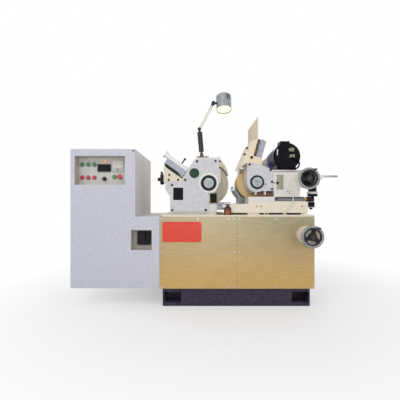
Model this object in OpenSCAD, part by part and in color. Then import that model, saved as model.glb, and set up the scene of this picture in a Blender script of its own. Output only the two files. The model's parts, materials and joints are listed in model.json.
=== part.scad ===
// Centerless grinder, 300 mm wheel class, seen from the operator's side.
// X runs to the right, Y away from the operator, Z up. The origin is on the floor under the bed's middle.

/* [Bed] */
// Width of the bed casting
bed_w = 1000; // [900:10:1100]
// Depth of the bed casting
bed_d = 692; // [660:4:760]
// Height of the bed's top deck above the floor
bed_top = 600; // [580:5:640]
// Height of the dark plinth under the bed
plinth_h = 122; // [100:2:140]
// Width of the plinth
plinth_w = 975; // [880:5:990]
// Depth of the plinth
plinth_d = 640; // [600:5:680]
// Wall of the bed casting
bed_wall = 25; // [18:1:35]
// Thickness of the bed's top deck
deck_t = 38; // [30:1:50]
// Height of the flange round the top of the bed
flange_h = 55; // [40:1:70]
// How far the flange stands out at the right end of the bed
flange_out = 11; // [6:1:20]
// Radius of the flange's corners
flange_r = 24; // [14:1:34]
// Thickness of the stainless front panels
panel_t = 3; // [2:0.5:4]
// Gap between the two front panels
panel_seam = 1.6; // [1:0.2:4]
// Radius of the foundation bolt holes
anchor_r = 11; // [8:0.5:14]
// Width of each corner pocket in the plinth
pocket_w = 110; // [90:2:140]
// Height of each corner pocket in the plinth
pocket_h = 70; // [50:2:85]

/* [Cabinet] */
// Width of the tall part of the electrical cabinet
cab_w = 421; // [380:1:460]
// Width of the low wing between the cabinet and the bed
wing_w = 157; // [120:1:180]
// Height of the cabinet's lower edge above the floor
cab_low = 125; // [110:1:150]
// Height of the cabinet's roof above the floor
cab_top = 1030; // [980:5:1100]
// Height of the wing's shelf above the floor
wing_top = 590; // [560:5:610]
// Depth of the cabinet
cab_d = 650; // [600:5:700]
// Sheet thickness of the cabinet
sheet_t = 2.5; // [2:0.5:4]
// Width of the control recess
recess_w = 327; // [320:1:350]
// Height of the control recess
recess_h = 187; // [180:1:210]
// Depth of the recesses
recess_d = 80; // [60:2:110]
// Width of the isolator recess
iso_w = 134; // [120:1:150]
// Height of the isolator recess
iso_h = 130; // [120:1:150]
// Radius of a push button
button_r = 12; // [10:0.5:13]
// Travel of a push button
button_travel = 5; // [3:0.5:6]
// Radius of the emergency stop mushroom
mushroom_r = 17; // [14:0.5:20]

/* [Grinding head] */
// Distance of the grinding spindle to the left of the bed's middle
grind_off = 182; // [175:1:195]
// Height of the grinding spindle above the deck
grind_h = 212; // [208:1:225]
// Diameter of the grinding wheel
grind_wheel_d = 305; // [290:1:308]
// Width of both wheels
wheel_w = 150; // [120:1:155]
// Bore of the grinding wheel
grind_bore_d = 120; // [110:1:130]
// Radius of the grinding spindle in its bearings
grind_shaft_r = 40; // [34:1:42]
// Wall of the bearing sleeves
sleeve_t = 8; // [6:0.5:10]
// Thickness of the heads' front plates
plate_t = 12; // [8:1:16]
// Setback of the heads' front plates from the bed's front edge
plate_in = 56; // [50:1:64]
// Wall of the wheel guard
guard_t = 7; // [5:0.5:9]
// Slope of the grinding dresser in degrees
dress_tilt = 35.5; // [34:0.5:37]

/* [Regulating head] */
// Distance of the regulating spindle to the right of the bed's middle
reg_off = 142; // [138:1:150]
// Height of the regulating spindle above the deck
reg_h = 218; // [215:1:228]
// Diameter of the regulating wheel
reg_wheel_d = 220; // [205:1:222]
// Radius of the regulating spindle in its bearings
reg_shaft_r = 30; // [26:1:34]
// Slope of the regulating dresser in degrees
reg_dress_tilt = 75; // [73:0.5:77]
// Radius of the gear motor
motor_r = 94; // [86:1:97]
// Length of the gear motor
motor_l = 150; // [130:1:170]

/* [Slides] */
// Height of the way pads on the deck
pad_h = 12; // [10:1:16]
// Thickness of the lower slide
lower_t = 75; // [70:1:80]
// Height of the dovetails
dove_h = 20; // [16:1:24]
// Half width of the dovetails at their tops
dove_half = 130; // [110:1:150]
// Thickness of the upper slide's sole
sole_t = 34; // [30:1:38]
// Width of the upper slide's tower
tower_w = 175; // [165:1:190]
// Height of the upper slide's tower above its sole
tower_h = 165; // [160:1:172]

/* [Handwheels] */
// Radius of the feed handwheels
wheel_rim_r = 70; // [60:1:75]
// Radius of the round handwheel rim bar
rim_bar_r = 8; // [6:0.5:10]
// Radius of the graduated drums
drum_r = 58; // [50:1:60]
// Radius of the feed screws
screw_r = 12; // [10:0.5:14]

/* [Lamp] */
// Length of the lamp's lower arm
lamp_low_l = 178; // [150:2:200]
// Length of the lamp's upper arm
lamp_up_l = 206; // [160:2:230]
// Radius of the lamp head
lamp_r = 52; // [44:1:58]
// Length of the lamp head
lamp_l = 104; // [80:2:120]

/* [Fits] */
// Radial clearance of running fits
fit = 0.05; // [0.02:0.01:0.1]
// Gap between surfaces that slide past one another
gap = 0.3; // [0.3:0.05:0.6]

/* [Hidden] */
$fn = 48;
// Overrun of every cut
cut = 2;
// Main planes: front of the panels, back of the bed, sides of the bed
front_y = -bed_d / 2 - panel_t - gap;
bed_front = -bed_d / 2;
bed_back = bed_d / 2;
bed_left = -bed_w / 2;
bed_right = bed_w / 2;
// Spindle axes, heights and radii
grind_x = -grind_off;
grind_z = bed_top + grind_h;
grind_r = grind_wheel_d / 2;
reg_x = reg_off;
reg_z = bed_top + reg_h;
reg_r = reg_wheel_d / 2;
// Along the spindles: front plates, pedestals and wheels
plate_front = bed_front + plate_in;
plate_back = plate_front + plate_t;
wheel_side = 22;
belt_room = 117;
ped_room = bed_d - plate_in - belt_room - plate_t - 2 * wheel_side - wheel_w;
ped_share = 173 / 313;
ped_len = ped_room * ped_share;
front_ped_end = plate_back + ped_len;
wheel_mid = front_ped_end + wheel_side + wheel_w / 2;
wheel_y0 = wheel_mid - wheel_w / 2;
wheel_y1 = wheel_mid + wheel_w / 2;
rear_ped_y0 = wheel_y1 + wheel_side;
rear_ped_y1 = rear_ped_y0 + ped_room - ped_len;
// Outline of the grinding head, from the spindle axis, going round from the lower right
head_low = 20;
foot_z = bed_top + head_low;
head_left = 258;
shoulder_x = 291;
notch_x = 174;
ledge_z = 8;
head_right = 69;
head_top = 161;
crown_x = 92;
base_right = 57;
base_h = 57;
ring_r = 67;
casting_inset = 6;
casting_rise = 12;
// Slides, from the deck up
lower_z0 = bed_top + pad_h;
lower_z1 = lower_z0 + lower_t;
sole_z1 = lower_z1 + sole_t;
tower_top = sole_z1 + tower_h;
slide_front = plate_front;
slide_short = 40;
slide_back = rear_ped_y1 - slide_short;
dove_flare = 11;
lower_left = 58;
lower_x0 = reg_x - lower_left;
slide_end_in = 18;
lower_x1 = bed_right - slide_end_in;
step_left = 183;
step_x0 = reg_x - step_left;
step_drop = 15;
tower_left = 113;
tower_x0 = reg_x + tower_left;
tower_x1 = tower_x0 + tower_w;
sole_x0 = lower_x0;
sole_out = 34;
sole_x1 = tower_x1 + sole_out;
// Feed screws: the upper one in the tower, the lower one under the deck
hand_out = 25;
hand_down = 50;
upper_hand_x = tower_x1 + hand_out;
upper_hand_z = tower_top - hand_down;
low_hand_in = 56;
low_hand_drop = 127;
lower_hand_x = bed_right - low_hand_in;
lower_hand_z = bed_top - low_hand_drop;
lower_in = 22;
lower_out = 40;
upper_in = 5;
upper_out = 60;
way_in = 4;
way_end = 10;
lower_travel_x0 = step_x0 + way_in;
lower_travel_x1 = bed_right - way_end;
pad_inset = 8;
hand_shaft_r = 12;
hub_r = 16;
web_t = 6;
grip_l = 42;
hand_reach = 100;
low_hand_reach = 130;
upper_hand_y = slide_front - hand_reach;
lower_hand_y = front_y - low_hand_reach;
mitre_far = 24;
mitre_near = 12;
nut_l = 22;
nut_half = 24;
post_in = 92;
post_x = tower_x0 + post_in;
post_room = 8;
low_nut_in = 152;
low_nut_x = lower_hand_x - low_nut_in;
screw_back = 62;
nut_slot_half = nut_half + post_room;
nut_slot_x0 = low_nut_x - lower_in - post_room;
nut_slot_x1 = low_nut_x + nut_l + lower_out + post_room;
ridge_in = 10;
groove_in = 5;
groove_deep = 14;
scale_in = 18;
scale_w = 46;
scale_h = 100;
pivot_r = 55;
pivot_l = 22;
house_w = 60;
house_half = 40;
house_wall = 8;
lever_hub = 15;
lever_pin = 7;
lever_out = 112;
lever_x = tower_x1 + lever_out;
lever_drop = 6;
lever_z = upper_hand_z - lever_drop;
lever_back = 40;
lever_thick = 22;
lever_y0 = slide_front + lever_back;
lever_y1 = lever_y0 + lever_thick;
lever_rise = 30;
lever_bar_l = 62;
lever_rod_l = 105;
stop_in = 30;
stop_r = 28;
stop_l = 66;
// Plinth and bed details
plinth_toe = 12;
plinth_foot = 24;
trough_in = 12;
trough_gap = 26;
trough_x0 = grind_x + base_right + trough_in;
trough_x1 = step_x0 - trough_gap;
trough_rim = 40;
trough_deep = 22;
trough_y1 = rear_ped_y1 - trough_in;
drain_r = 16;
panel_lap = 4;
panel_drop = 10;
screw_head_r = 5;
screw_head_h = 3;
screw_inset = 12;
screw_gap = 2;
// Cabinet places
wing_x1 = bed_left - panel_lap - gap;
cab_x1 = wing_x1 - wing_w;
cab_x0 = cab_x1 - cab_w;
recess_in = 27;
recess_drop = 45;
iso_drop = 87;
iso_across = 73;
iso_down = 59;
recess_x0 = cab_x0 + recess_in;
recess_z0 = cab_top - recess_drop - recess_h;
iso_x0 = cab_x1 - recess_in;
iso_z0 = wing_top - iso_drop - iso_h;
iso_mid_x = iso_x0 + iso_across;
iso_mid_z = iso_z0 + iso_h - iso_down;
tray_lip = 7;
iso_plate_w = 92;
iso_plate_t = 12;
gland_r = 16;
// Control plate: places are across and up from the recess's lower left corner
fascia_t = 6;
collar_t = 3;
plate_face_y = front_y + recess_d - fascia_t;
knob_pin_r = 5;
button_x = 22;
button_step = 41;
upper_row = 139;
lower_row = 52;
start_x = 240;
stop_x = 278;
start_lift = 4;
knob_x = 173;
knob_down = 9;
pilot_x = 176;
pilot_up = 20;
button_places = [for (z = [upper_row, lower_row], i = [0 : 2]) [button_x + i * button_step, z],
  [start_x, lower_row + start_lift], [stop_x, lower_row + start_lift]];
knob_place = [knob_x, lower_row - knob_down];
lamp_place = [pilot_x, upper_row + pilot_up];
display_x = 128;
display_down = 48;
display_z = upper_row - display_down;
display_w = 88;
display_h = 50;
meter_x = 226;
meter_z = upper_row - display_down + start_lift / 2;
meter_w = 74;
instrument_t = 8;
// Grinding head details
notch_h = 30;
shoulder_drop = 40;
waist_drop = 93;
wheel_room = 12;
guard_gap = 6;
guard_nose = 12;
guard_a0 = 24;
guard_a1 = 66;
guard_step = 6;
guard_top_r = 205;
foot_bolt_in = 30;
seal_r = 53;
ring_rise = 7;
grind_nose_r = 33;
grind_tail_r = 26;
nose_out = 12;
flange_lap = 14;
flange_t = 9;
sight_x = -96;
sight_z = 66;
sight_r = 33;
plug_r = 8;
grind_plug_shares = [[-0.302, 0.689], [0.178, 0.698], [-0.609, 0.099], [-0.95, -0.066], [-0.946, -0.849], [-0.07, -0.849]];
// Grinding dresser, in its tilted frame
dress_left = 302;
dress_up = 100;
dress_x = grind_x - dress_left;
dress_z = grind_z + dress_up;
dress_back = 63;
slide_over = 23;
dress_y0 = plate_front + way_in;
dress_y1 = wheel_y1 + dress_back;
slide_y0 = dress_y0;
slide_y1 = wheel_y0 + slide_over;
rail_n0 = 14;
rail_inset = 3;
rail_n1 = 34.5;
rail_u0 = -6;
rail_u1 = 101;
lip_w = 11;
lip_drop = 8;
lip_cut = 8;
slide_n1 = 72;
slab_u0 = -38;
slab_n1 = 97;
dress_slide_u1 = 136;
end_t = 17;
nib_n = 75;
nib_r = 6;
nib_side = 5;
nib_y = wheel_y0 + nib_side;
nib_slot = 10;
ear_in = 14;
lever_u = 77;
lever_set = 40;
lever_y_mid = slide_y0 + lever_set;
lever_w = 9;
lever_hub_r = 12;
lever_pin_r = 5;
lever_l = 38;
lever_ball_r = 8;
wheel_u = (grind_x - dress_x) * cos(dress_tilt) - (grind_z - dress_z) * sin(dress_tilt);
wheel_n = (grind_x - dress_x) * sin(dress_tilt) + (grind_z - dress_z) * cos(dress_tilt);
hand_back = 50;
hand_lift = 28;
dress_hand_y = plate_front + hand_back;
hand_axis_z = grind_z + hand_lift;
dress_shaft_r = 7;
dress_shaft_l = 34;
dress_hand_gap = 3;
dress_hand_r = 36;
dress_hand_w = 22;
// Drive
motor_z = 350;
main_motor_r = 100;
main_motor_l = 275;
motor_back = 14;
main_motor_y1 = rear_ped_y1 - motor_back;
main_motor_y0 = main_motor_y1 - main_motor_l;
motor_foot_h = 20;
motor_shaft_r = 19;
motor_bore_l = 60;
rib_count = 13;
rib_t = 8;
pulley_r = 64;
belt_rim = 5;
pulley_w = 48;
belt_count = 3;
belt_w = 10;
belt_t = 8;
belt_side = 6;
belt_slot = pulley_r + belt_t + belt_side;
motor_shelf_t = 18;
hanger_t = 14;
pulley_y0 = rear_ped_y1 + motor_back;
// Coolant block
valve_w = 46;
valve_lift = 33;
valve_z0 = bed_top + valve_lift;
shelf_w = 90;
// Lamp: pivots in X and Z, all at the same depth
lamp_in = 90;
lamp_y = plate_front + lamp_in;
lamp_floor = grind_z + head_top + casting_rise;
lamp_foot = 34;
lamp_foot_h = 14;
ear_r = 13;
ear_t = 4;
ear_gap = 18;
lamp_pin_r = 5;
arm_w = 34;
rod_space = 9;
lamp_rod_r = 3.5;
lamp_low_a = 95;
lamp_up_a = 62;
lamp_left = 46;
ear_lift = 3;
lamp_p0 = [grind_x - lamp_left, lamp_floor + lamp_foot_h + ear_r + ear_lift];
lamp_p1 = lamp_p0 + lamp_low_l * [cos(lamp_low_a), sin(lamp_low_a)];
lamp_p2 = lamp_p1 + lamp_up_l * [cos(lamp_up_a), sin(lamp_up_a)];
lamp_head_x = 74;
lamp_lean = 17;
// Work rest
rest_gap = 12;
rest_t = 20;
rest_over = 12;
rest_y0 = wheel_y0 - rest_over;
rest_y1 = wheel_y1 + rest_over;
rest_a0 = 190;
rest_a1 = 235;
rest_far = 200;
rest_foot_left = 96;
rest_foot_h = 36;
blade_left = 134;
rest_foot_x = reg_x - rest_foot_left;
rest_foot_top = lower_z1 + rest_foot_h;
blade_x = reg_x - blade_left;
blade_t = 9;
blade_low = 50;
blade_high = 14;
blade_z0 = reg_z - blade_low;
blade_z1 = reg_z - blade_high;
blade_slope = 30;
// Regulating head details
reg_left = 66;
reg_right = tower_left - gap;
reg_crown = 132;
reg_low = 58;
reg_seal_r = 46;
reg_tail_r = 22;
reg_bore_r = 45;
reg_plug_shares = [[0.8, 0.62], [0.88, 0.02], [0.88, -0.35], [-0.45, 0.9]];
post_shares = [-0.1, 0.44];
tilt_room = 13;
shelf_in = 70;
shelf_len = 230;
shelf_x1 = sole_x1;
shelf_y0 = slide_front + shelf_in;
shelf_y1 = shelf_y0 + shelf_len;
shelf_rise = 11;
shelf_t = 10;
motor_over = 10;
gearbox_l = 90;
gearbox_shift = 8;
case_r = 62;
case_t = 48;
reg_rail_dx = 24;
reg_rail_dz = 176;
reg_rail_l = 118;
reg_rail_t = 17;
reg_slide_t = 43;
reg_slab_t = 43;
reg_block_l = 46;
reg_slide_in = 16;
reg_slide_over = 21;
reg_slide_y0 = plate_front + reg_slide_in;
reg_slide_y1 = wheel_y0 + reg_slide_over;
reg_stroke = 140;
splash_l = 410;
splash_h = 148;

// Box between two corners
module slab(x0, x1, y0, y1, z0, z1) {
  translate([x0, y0, z0]) cube([x1 - x0, y1 - y0, z1 - z0]);
}
// Rods and discs along each axis
module rod_x(y, z, r, x0, x1) {
  translate([x0, y, z]) rotate([0, 90, 0]) cylinder(r = r, h = x1 - x0);
}
module rod_y(x, z, r, y0, y1) {
  translate([x, y1, z]) rotate([90, 0, 0]) cylinder(r = r, h = y1 - y0);
}
module rod_z(x, y, r, z0, z1) {
  translate([x, y, z0]) cylinder(r = r, h = z1 - z0);
}
// Upright outlines: drawn in X and Z and run along Y, or drawn in Y and Z and run along X
module run_y(y0, y1) {
  translate([0, y1, 0]) rotate([90, 0, 0]) linear_extrude(y1 - y0) children();
}
module run_x(x0, x1) {
  translate([x0, 0, 0]) rotate([90, 0, 90]) linear_extrude(x1 - x0) children();
}
// Rectangle with round corners
module soft_rect(x0, x1, y0, y1, r) {
  translate([x0 + r, y0]) square([x1 - x0 - 2 * r, y1 - y0]);
  translate([x0, y0 + r]) square([x1 - x0, y1 - y0 - 2 * r]);
  for (x = [x0 + r, x1 - r], y = [y0 + r, y1 - r]) translate([x, y]) circle(r);
}

module plinth() {
  anchor_x = plinth_w / 2 - pocket_w / 2 - plinth_toe;
  anchor_y = plinth_d / 2 - pocket_w / 2;
  color("#241f33") difference() {
    linear_extrude(plinth_h) soft_rect(-plinth_w / 2, plinth_w / 2, -plinth_d / 2, plinth_d / 2, plinth_toe);
    for (sx = [-1, 1], sy = [-1, 1]) {
      mirror([sx < 0 ? 1 : 0, 0, 0]) mirror([0, sy < 0 ? 1 : 0, 0]) {
        slab(anchor_x - pocket_w / 2, anchor_x + pocket_w / 2, anchor_y - pocket_w / 2,
          plinth_d / 2 + cut, plinth_foot, plinth_foot + pocket_h);
        rod_z(anchor_x, anchor_y, anchor_r, -cut, plinth_foot + cut);
      }
    }
  }
}

module bed_casting() {
  color("#e8e4da") difference() {
    union() {
      slab(bed_left, bed_right, bed_front, bed_back, plinth_h, bed_top - flange_h);
      translate([0, 0, bed_top - flange_h]) linear_extrude(flange_h)
        soft_rect(bed_left, bed_right + flange_out, bed_front, bed_back, flange_r);
      way_pad();
      run_x(lower_travel_x0, lower_travel_x1) dovetail(lower_z0, 0);
    }
    // Hollow of the box bed, open to the plinth
    slab(bed_left + bed_wall, bed_right - bed_wall, bed_front + bed_wall, bed_back - bed_wall,
      plinth_h - cut, bed_top - deck_t);
    // Slot through the deck for the lower slide's feed nut
    slab(nut_slot_x0, nut_slot_x1, -nut_slot_half, nut_slot_half, bed_top - deck_t - cut, lower_z0 + dove_h + cut);
    // Coolant trough between the heads, with its drain hole
    slab(trough_x0, trough_x1, bed_front + trough_rim, trough_y1, bed_top - trough_deep, bed_top + cut);
    rod_z((trough_x0 + trough_x1) / 2, trough_y1 - drain_r * 2, drain_r, bed_top - deck_t - cut, bed_top);
    // Slot for the drive belts, and the way for the lower handwheel's shaft
    slab(grind_x - belt_slot, grind_x + belt_slot, pulley_y0 - belt_w, pulley_y0 + pulley_w + belt_w,
      bed_top - deck_t - cut, bed_top + cut);
    rod_y(lower_hand_x, lower_hand_z, hand_shaft_r + fit, bed_front - cut, bed_front + bed_wall + cut);
  }
  // Shelf of the main motor and hangers of the lower feed screw, cast inside the bed
  shelf_z = motor_z - main_motor_r - motor_foot_h;
  color("#e8e4da") {
    slab(bed_left + bed_wall - cut, grind_x + main_motor_r + bed_wall, bed_front + bed_wall - cut,
      bed_back - bed_wall + cut, shelf_z - motor_shelf_t, shelf_z);
    for (x = [low_nut_x - screw_back + hanger_t / 2, lower_hand_x - mitre_far - hanger_t * 3]) difference() {
      slab(x, x + hanger_t, -nut_half, nut_half, lower_hand_z - nut_half, bed_top - deck_t + cut);
      rod_x(0, lower_hand_z, screw_r + fit, x - cut, x + hanger_t + cut);
    }
  }
}
module way_pad() {
  slab(lower_x0 - way_in, lower_x1 - pad_inset, slide_front + pad_inset, slide_back - pad_inset,
    bed_top - cut, lower_z0);
}
// Male dovetail: its outline in Y and Z on a flat at height z, grown by g for the matching groove
module dovetail(z, g) {
  polygon([[-dove_half + dove_flare - g, z - g], [dove_half - dove_flare + g, z - g],
    [dove_half + g, z + dove_h + g], [-dove_half - g, z + dove_h + g]]);
}

module front_panels() {
  color("#b9b3a0") for (s = [-1, 1]) difference() {
    x0 = s < 0 ? bed_left - panel_lap : panel_seam / 2;
    x1 = s < 0 ? -panel_seam / 2 : bed_right + panel_lap;
    slab(x0, x1, front_y, front_y + panel_t, plinth_h + gap, bed_top - panel_drop);
    rod_y(lower_hand_x, lower_hand_z, hand_shaft_r + screw_gap, front_y - cut, front_y + panel_t + cut);
  }
}

// Places of the panel screws: across from the bed's middle, down from the panels' top
panel_screw_x_shares = [-0.98, -0.51, -0.11, -0.04, 0.03, 0.5, 0.99];
module panel_screw(x, z) {
  rod_y(x, z, screw_head_r, front_y - screw_head_h, front_y);
}
module fasteners() {
  color("#3a3a3c") {
    for (s = panel_screw_x_shares) panel_screw(s * bed_w / 2, bed_top - panel_drop - screw_inset);
    for (s = panel_screw_x_shares) panel_screw(s * bed_w / 2, plinth_h + screw_inset);
    for (s = [panel_screw_x_shares[0], panel_screw_x_shares[3], panel_screw_x_shares[4]])
      panel_screw(s * bed_w / 2, (bed_top + plinth_h) / 2);
    // Plugs and bolts of the grinding head's front plate
    for (p = grind_plug_shares)
      rod_y(grind_x + p[0] * head_left, grind_z + p[1] * grind_h, plug_r, plate_front - screw_head_h, plate_front);
    // Corner screws of the cabinet's front sheet
    for (p = [[cab_x1, cab_top], [wing_x1, cab_low]])
      rod_y(p[0] - screw_inset, p[1] + (p[1] > wing_top ? -screw_inset : screw_inset), screw_head_r,
        front_y - screw_head_h, front_y);
  }
}

// Outline of the cabinet in X and Z, drawn in by i all round
module cabinet_outline(i) {
  polygon([[cab_x0 + i, cab_low + i], [wing_x1 - i, cab_low + i], [wing_x1 - i, wing_top - i],
    [cab_x1 - i, wing_top - i], [cab_x1 - i, cab_top - i], [cab_x0 + i, cab_top - i]]);
}
module cabinet_body() {
  color("#efeadf") difference() {
    run_y(front_y + sheet_t + gap, front_y + cab_d) cabinet_outline(0);
    run_y(front_y, front_y + cab_d - sheet_t) cabinet_outline(sheet_t);
    rod_z(cab_x0 + cab_w / 2, front_y + cab_d - gland_r * 4, gland_r, cab_low - cut, cab_low + sheet_t + cut);
  }
}
module tray(x0, x1, z0, z1) {
  difference() {
    slab(x0 - sheet_t, x1 + sheet_t, front_y + sheet_t, front_y + recess_d + sheet_t, z0 - sheet_t, z1 + sheet_t);
    slab(x0, x1, front_y - cut, front_y + recess_d, z0, z1);
  }
}
module cabinet_front() {
  color("#f1f0f6") {
    difference() {
      run_y(front_y, front_y + sheet_t) cabinet_outline(0);
      slab(recess_x0, recess_x0 + recess_w, front_y - cut, front_y + sheet_t + cut, recess_z0, recess_z0 + recess_h);
      slab(iso_x0, iso_x0 + iso_w, front_y - cut, front_y + sheet_t + cut, iso_z0, iso_z0 + iso_h);
    }
    difference() {
      tray(recess_x0, recess_x0 + recess_w, recess_z0, recess_z0 + recess_h);
      slab(recess_x0 + tray_lip, recess_x0 + recess_w - tray_lip, front_y + recess_d - cut, front_y + recess_d + sheet_t + cut,
        recess_z0 + tray_lip, recess_z0 + recess_h - tray_lip);
    }
    tray(iso_x0, iso_x0 + iso_w, iso_z0, iso_z0 + iso_h);
  }
}
// Places on the control plate, from its lower left corner
module at_plate(p) {
  translate([recess_x0 + p[0], plate_face_y, recess_z0 + p[1]]) rotate([90, 0, 0]) children();
}
module control_plate() {
  color("#dfe0e2") difference() {
    union() {
      slab(recess_x0 + gap, recess_x0 + recess_w - gap, plate_face_y, front_y + recess_d - gap,
        recess_z0 + gap, recess_z0 + recess_h - gap);
      for (p = button_places) at_plate(p) cylinder(r = button_r + collar_t, h = collar_t);
      at_plate(knob_place) cylinder(r = button_r + collar_t, h = collar_t);
    }
    for (p = button_places) at_plate(p) translate([0, 0, -fascia_t - cut])
      cylinder(r = button_r + gap, h = fascia_t + collar_t + 2 * cut);
    at_plate(knob_place) translate([0, 0, -fascia_t - cut]) cylinder(r = knob_pin_r + fit, h = fascia_t + 2 * cut + collar_t);
  }
}
module panel_instruments() {
  // Number display with its window
  color("#17181c") at_plate([display_x, display_z]) difference() {
    cube([display_w, display_h, instrument_t]);
    translate([collar_t, collar_t, instrument_t - gap * 2]) cube([display_w - 2 * collar_t, display_h - 2 * collar_t, cut]);
  }
  // Load meter: a square case with a round scale window
  color("#cfd2d6") at_plate([meter_x, meter_z]) difference() {
    cube([meter_w, meter_w, instrument_t]);
    translate([collar_t, meter_w / 3, instrument_t - gap * 4]) cube([meter_w - 2 * collar_t, meter_w * 2 / 3 - collar_t, cut]);
  }
  color("#ff8a2a") at_plate(lamp_place) cylinder(r = button_r / 2, h = instrument_t);
  // Isolator body in the lower recess
  color("#1b1b1e") translate([iso_mid_x, front_y + recess_d, iso_mid_z]) rotate([90, 0, 0]) difference() {
    linear_extrude(iso_plate_t) soft_rect(-iso_plate_w / 2, iso_plate_w / 2, -iso_plate_w / 2, iso_plate_w / 2, button_r / 2);
    translate([0, 0, -cut]) cylinder(r = knob_pin_r + fit, h = iso_plate_t + 2 * cut);
  }
}
module push_button(p, tint) {
  color(tint) at_plate(p) {
    translate([0, 0, -fascia_t]) cylinder(r = button_r, h = fascia_t + collar_t + button_travel + collar_t);
  }
}
module green_button_1() { push_button(button_places[0], "#2c8f45"); }
module green_button_2() { push_button(button_places[1], "#2c8f45"); }
module green_button_3() { push_button(button_places[2], "#2c8f45"); }
module red_button_1() { push_button(button_places[3], "#b3121f"); }
module red_button_2() { push_button(button_places[4], "#b3121f"); }
module red_button_3() { push_button(button_places[5], "#b3121f"); }
module start_button() { push_button(button_places[6], "#2c8f45"); }
module stop_mushroom() {
  color("#c01322") at_plate(button_places[7]) {
    translate([0, 0, -fascia_t]) cylinder(r = button_r, h = fascia_t + collar_t + button_travel * 2);
    translate([0, 0, collar_t + button_travel * 2]) cylinder(r = mushroom_r, h = collar_t);
    translate([0, 0, collar_t * 2 + button_travel * 2]) cylinder(r1 = mushroom_r, r2 = mushroom_r * 0.7, h = collar_t);
  }
}
module speed_knob() {
  color("#1a1a1c") at_plate(knob_place) {
    translate([0, 0, -fascia_t]) cylinder(r = knob_pin_r, h = fascia_t + collar_t + gap);
    translate([0, 0, collar_t + gap]) cylinder(r = button_r, h = collar_t * 4);
    translate([-collar_t / 2, 0, collar_t * 5 + gap]) cube([collar_t, button_r, collar_t / 2]);
  }
}
module isolator_handle() {
  color("#101012") translate([iso_mid_x, front_y + recess_d, iso_mid_z]) rotate([90, 0, 0]) {
    cylinder(r = knob_pin_r, h = iso_plate_t + gap);
    translate([0, 0, iso_plate_t + gap]) cylinder(r = iso_plate_w / 4, h = collar_t * 2);
    translate([-collar_t * 2, -iso_plate_w / 3, iso_plate_t + gap + collar_t * 2])
      cube([collar_t * 4, iso_plate_w * 2 / 3, collar_t * 4]);
  }
}

// Front outline of the grinding head about its spindle; top is raised by rise, sides drawn in by i
module head_outline(i, rise) {
  low = grind_h - head_low;
  polygon([[0, -low], [0, 0], [head_right + rise, 0], [head_right + rise, head_top + rise],
    [-crown_x + rise, head_top + rise], [-notch_x, ledge_z + notch_h], [-notch_x, ledge_z],
    [-shoulder_x + i, ledge_z], [-shoulder_x + i, -shoulder_drop], [-head_left + i, -waist_drop], [-head_left + i, -low]]);
  circle(ring_r);
}
module at_grind() { translate([grind_x, 0, grind_z]) children(); }
module grinding_head() {
  bore = grind_shaft_r + 2 * fit + sleeve_t;
  low = grind_h - head_low;
  color("#e9e7e2") difference() {
    union() {
      at_grind() {
        run_y(plate_back, front_ped_end) head_outline(casting_inset, casting_rise);
        run_y(rear_ped_y0, rear_ped_y1) head_outline(casting_inset, casting_rise);
      }
      // Foot under both pedestals and the wall behind the wheel
      slab(grind_x - head_left + casting_inset, grind_x + base_right, plate_back, rear_ped_y1, foot_z, foot_z + base_h);
      slab(grind_x - head_left + casting_inset, grind_x - grind_r - wheel_room, plate_back, rear_ped_y1, foot_z, grind_z + ledge_z);
      // Pad between the head and the deck
      slab(grind_x - head_left + casting_inset * 2, grind_x + base_right - casting_inset,
        plate_back + casting_inset, rear_ped_y1 - casting_inset, bed_top, foot_z);
    }
    // Room for the wheel and bores for the bearings
    rod_y(grind_x, grind_z, grind_r + wheel_room, front_ped_end, rear_ped_y0);
    rod_y(grind_x, grind_z, bore, plate_back - cut, rear_ped_y1 + cut);
    // Bolt counterbores of the foot, at its left side
    for (y = [plate_back + foot_bolt_in, rear_ped_y1 - foot_bolt_in])
      rod_y(grind_x - head_left + foot_bolt_in, foot_z + base_h, plug_r, y, y + plug_r * 3);
    rod_x(dress_hand_y, hand_axis_z, dress_shaft_r + fit, dress_x - cut, dress_x + dress_shaft_l + cut);
  }
}
module grinding_front_plate() {
  color("#d9d8dc") difference() {
    at_grind() run_y(plate_front, plate_back) head_outline(0, 0);
    rod_y(grind_x, grind_z, seal_r + 2 * fit, plate_front - cut, plate_back + cut);
    rod_y(grind_x + sight_x, grind_z + sight_z, sight_r + fit, plate_front - cut, plate_front + plate_t / 2);
  }
  color("#f0efe9") difference() {
    rod_y(grind_x, grind_z, ring_r, plate_front - ring_rise, plate_front);
    rod_y(grind_x, grind_z, seal_r + 2 * fit, plate_front - ring_rise - cut, plate_front + cut);
  }
}
// Sleeve bearing: a bush with an oil groove
module sleeve(x, z, r, y0, y1) {
  difference() {
    rod_y(x, z, r + fit + sleeve_t, y0, y1);
    rod_y(x, z, r + fit, y0 - cut, y1 + cut);
    rod_y(x, z, r + fit + sleeve_t / 4, (y0 + y1) / 2 - sleeve_t, (y0 + y1) / 2 + sleeve_t);
  }
}
module seal_ring(x, z, r_in, r_out) {
  difference() {
    rod_y(x, z, r_out, plate_front - ring_rise, plate_back);
    rod_y(x, z, r_in + gap, plate_front - ring_rise - cut, plate_back + cut);
  }
}
module grinding_bearings() {
  color("#b08a4a") sleeve(grind_x, grind_z, grind_shaft_r, plate_back + gap, front_ped_end - gap);
  color("#b08a4a") sleeve(grind_x, grind_z, grind_shaft_r, rear_ped_y0 + gap, rear_ped_y1 - gap);
  color("#141416") seal_ring(grind_x, grind_z, grind_nose_r, seal_r + fit);
}
module sight_glass() {
  color("#1f4a3a") rod_y(grind_x + sight_x, grind_z + sight_z, sight_r, plate_front - fit, plate_front + plate_t / 2);
}
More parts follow.
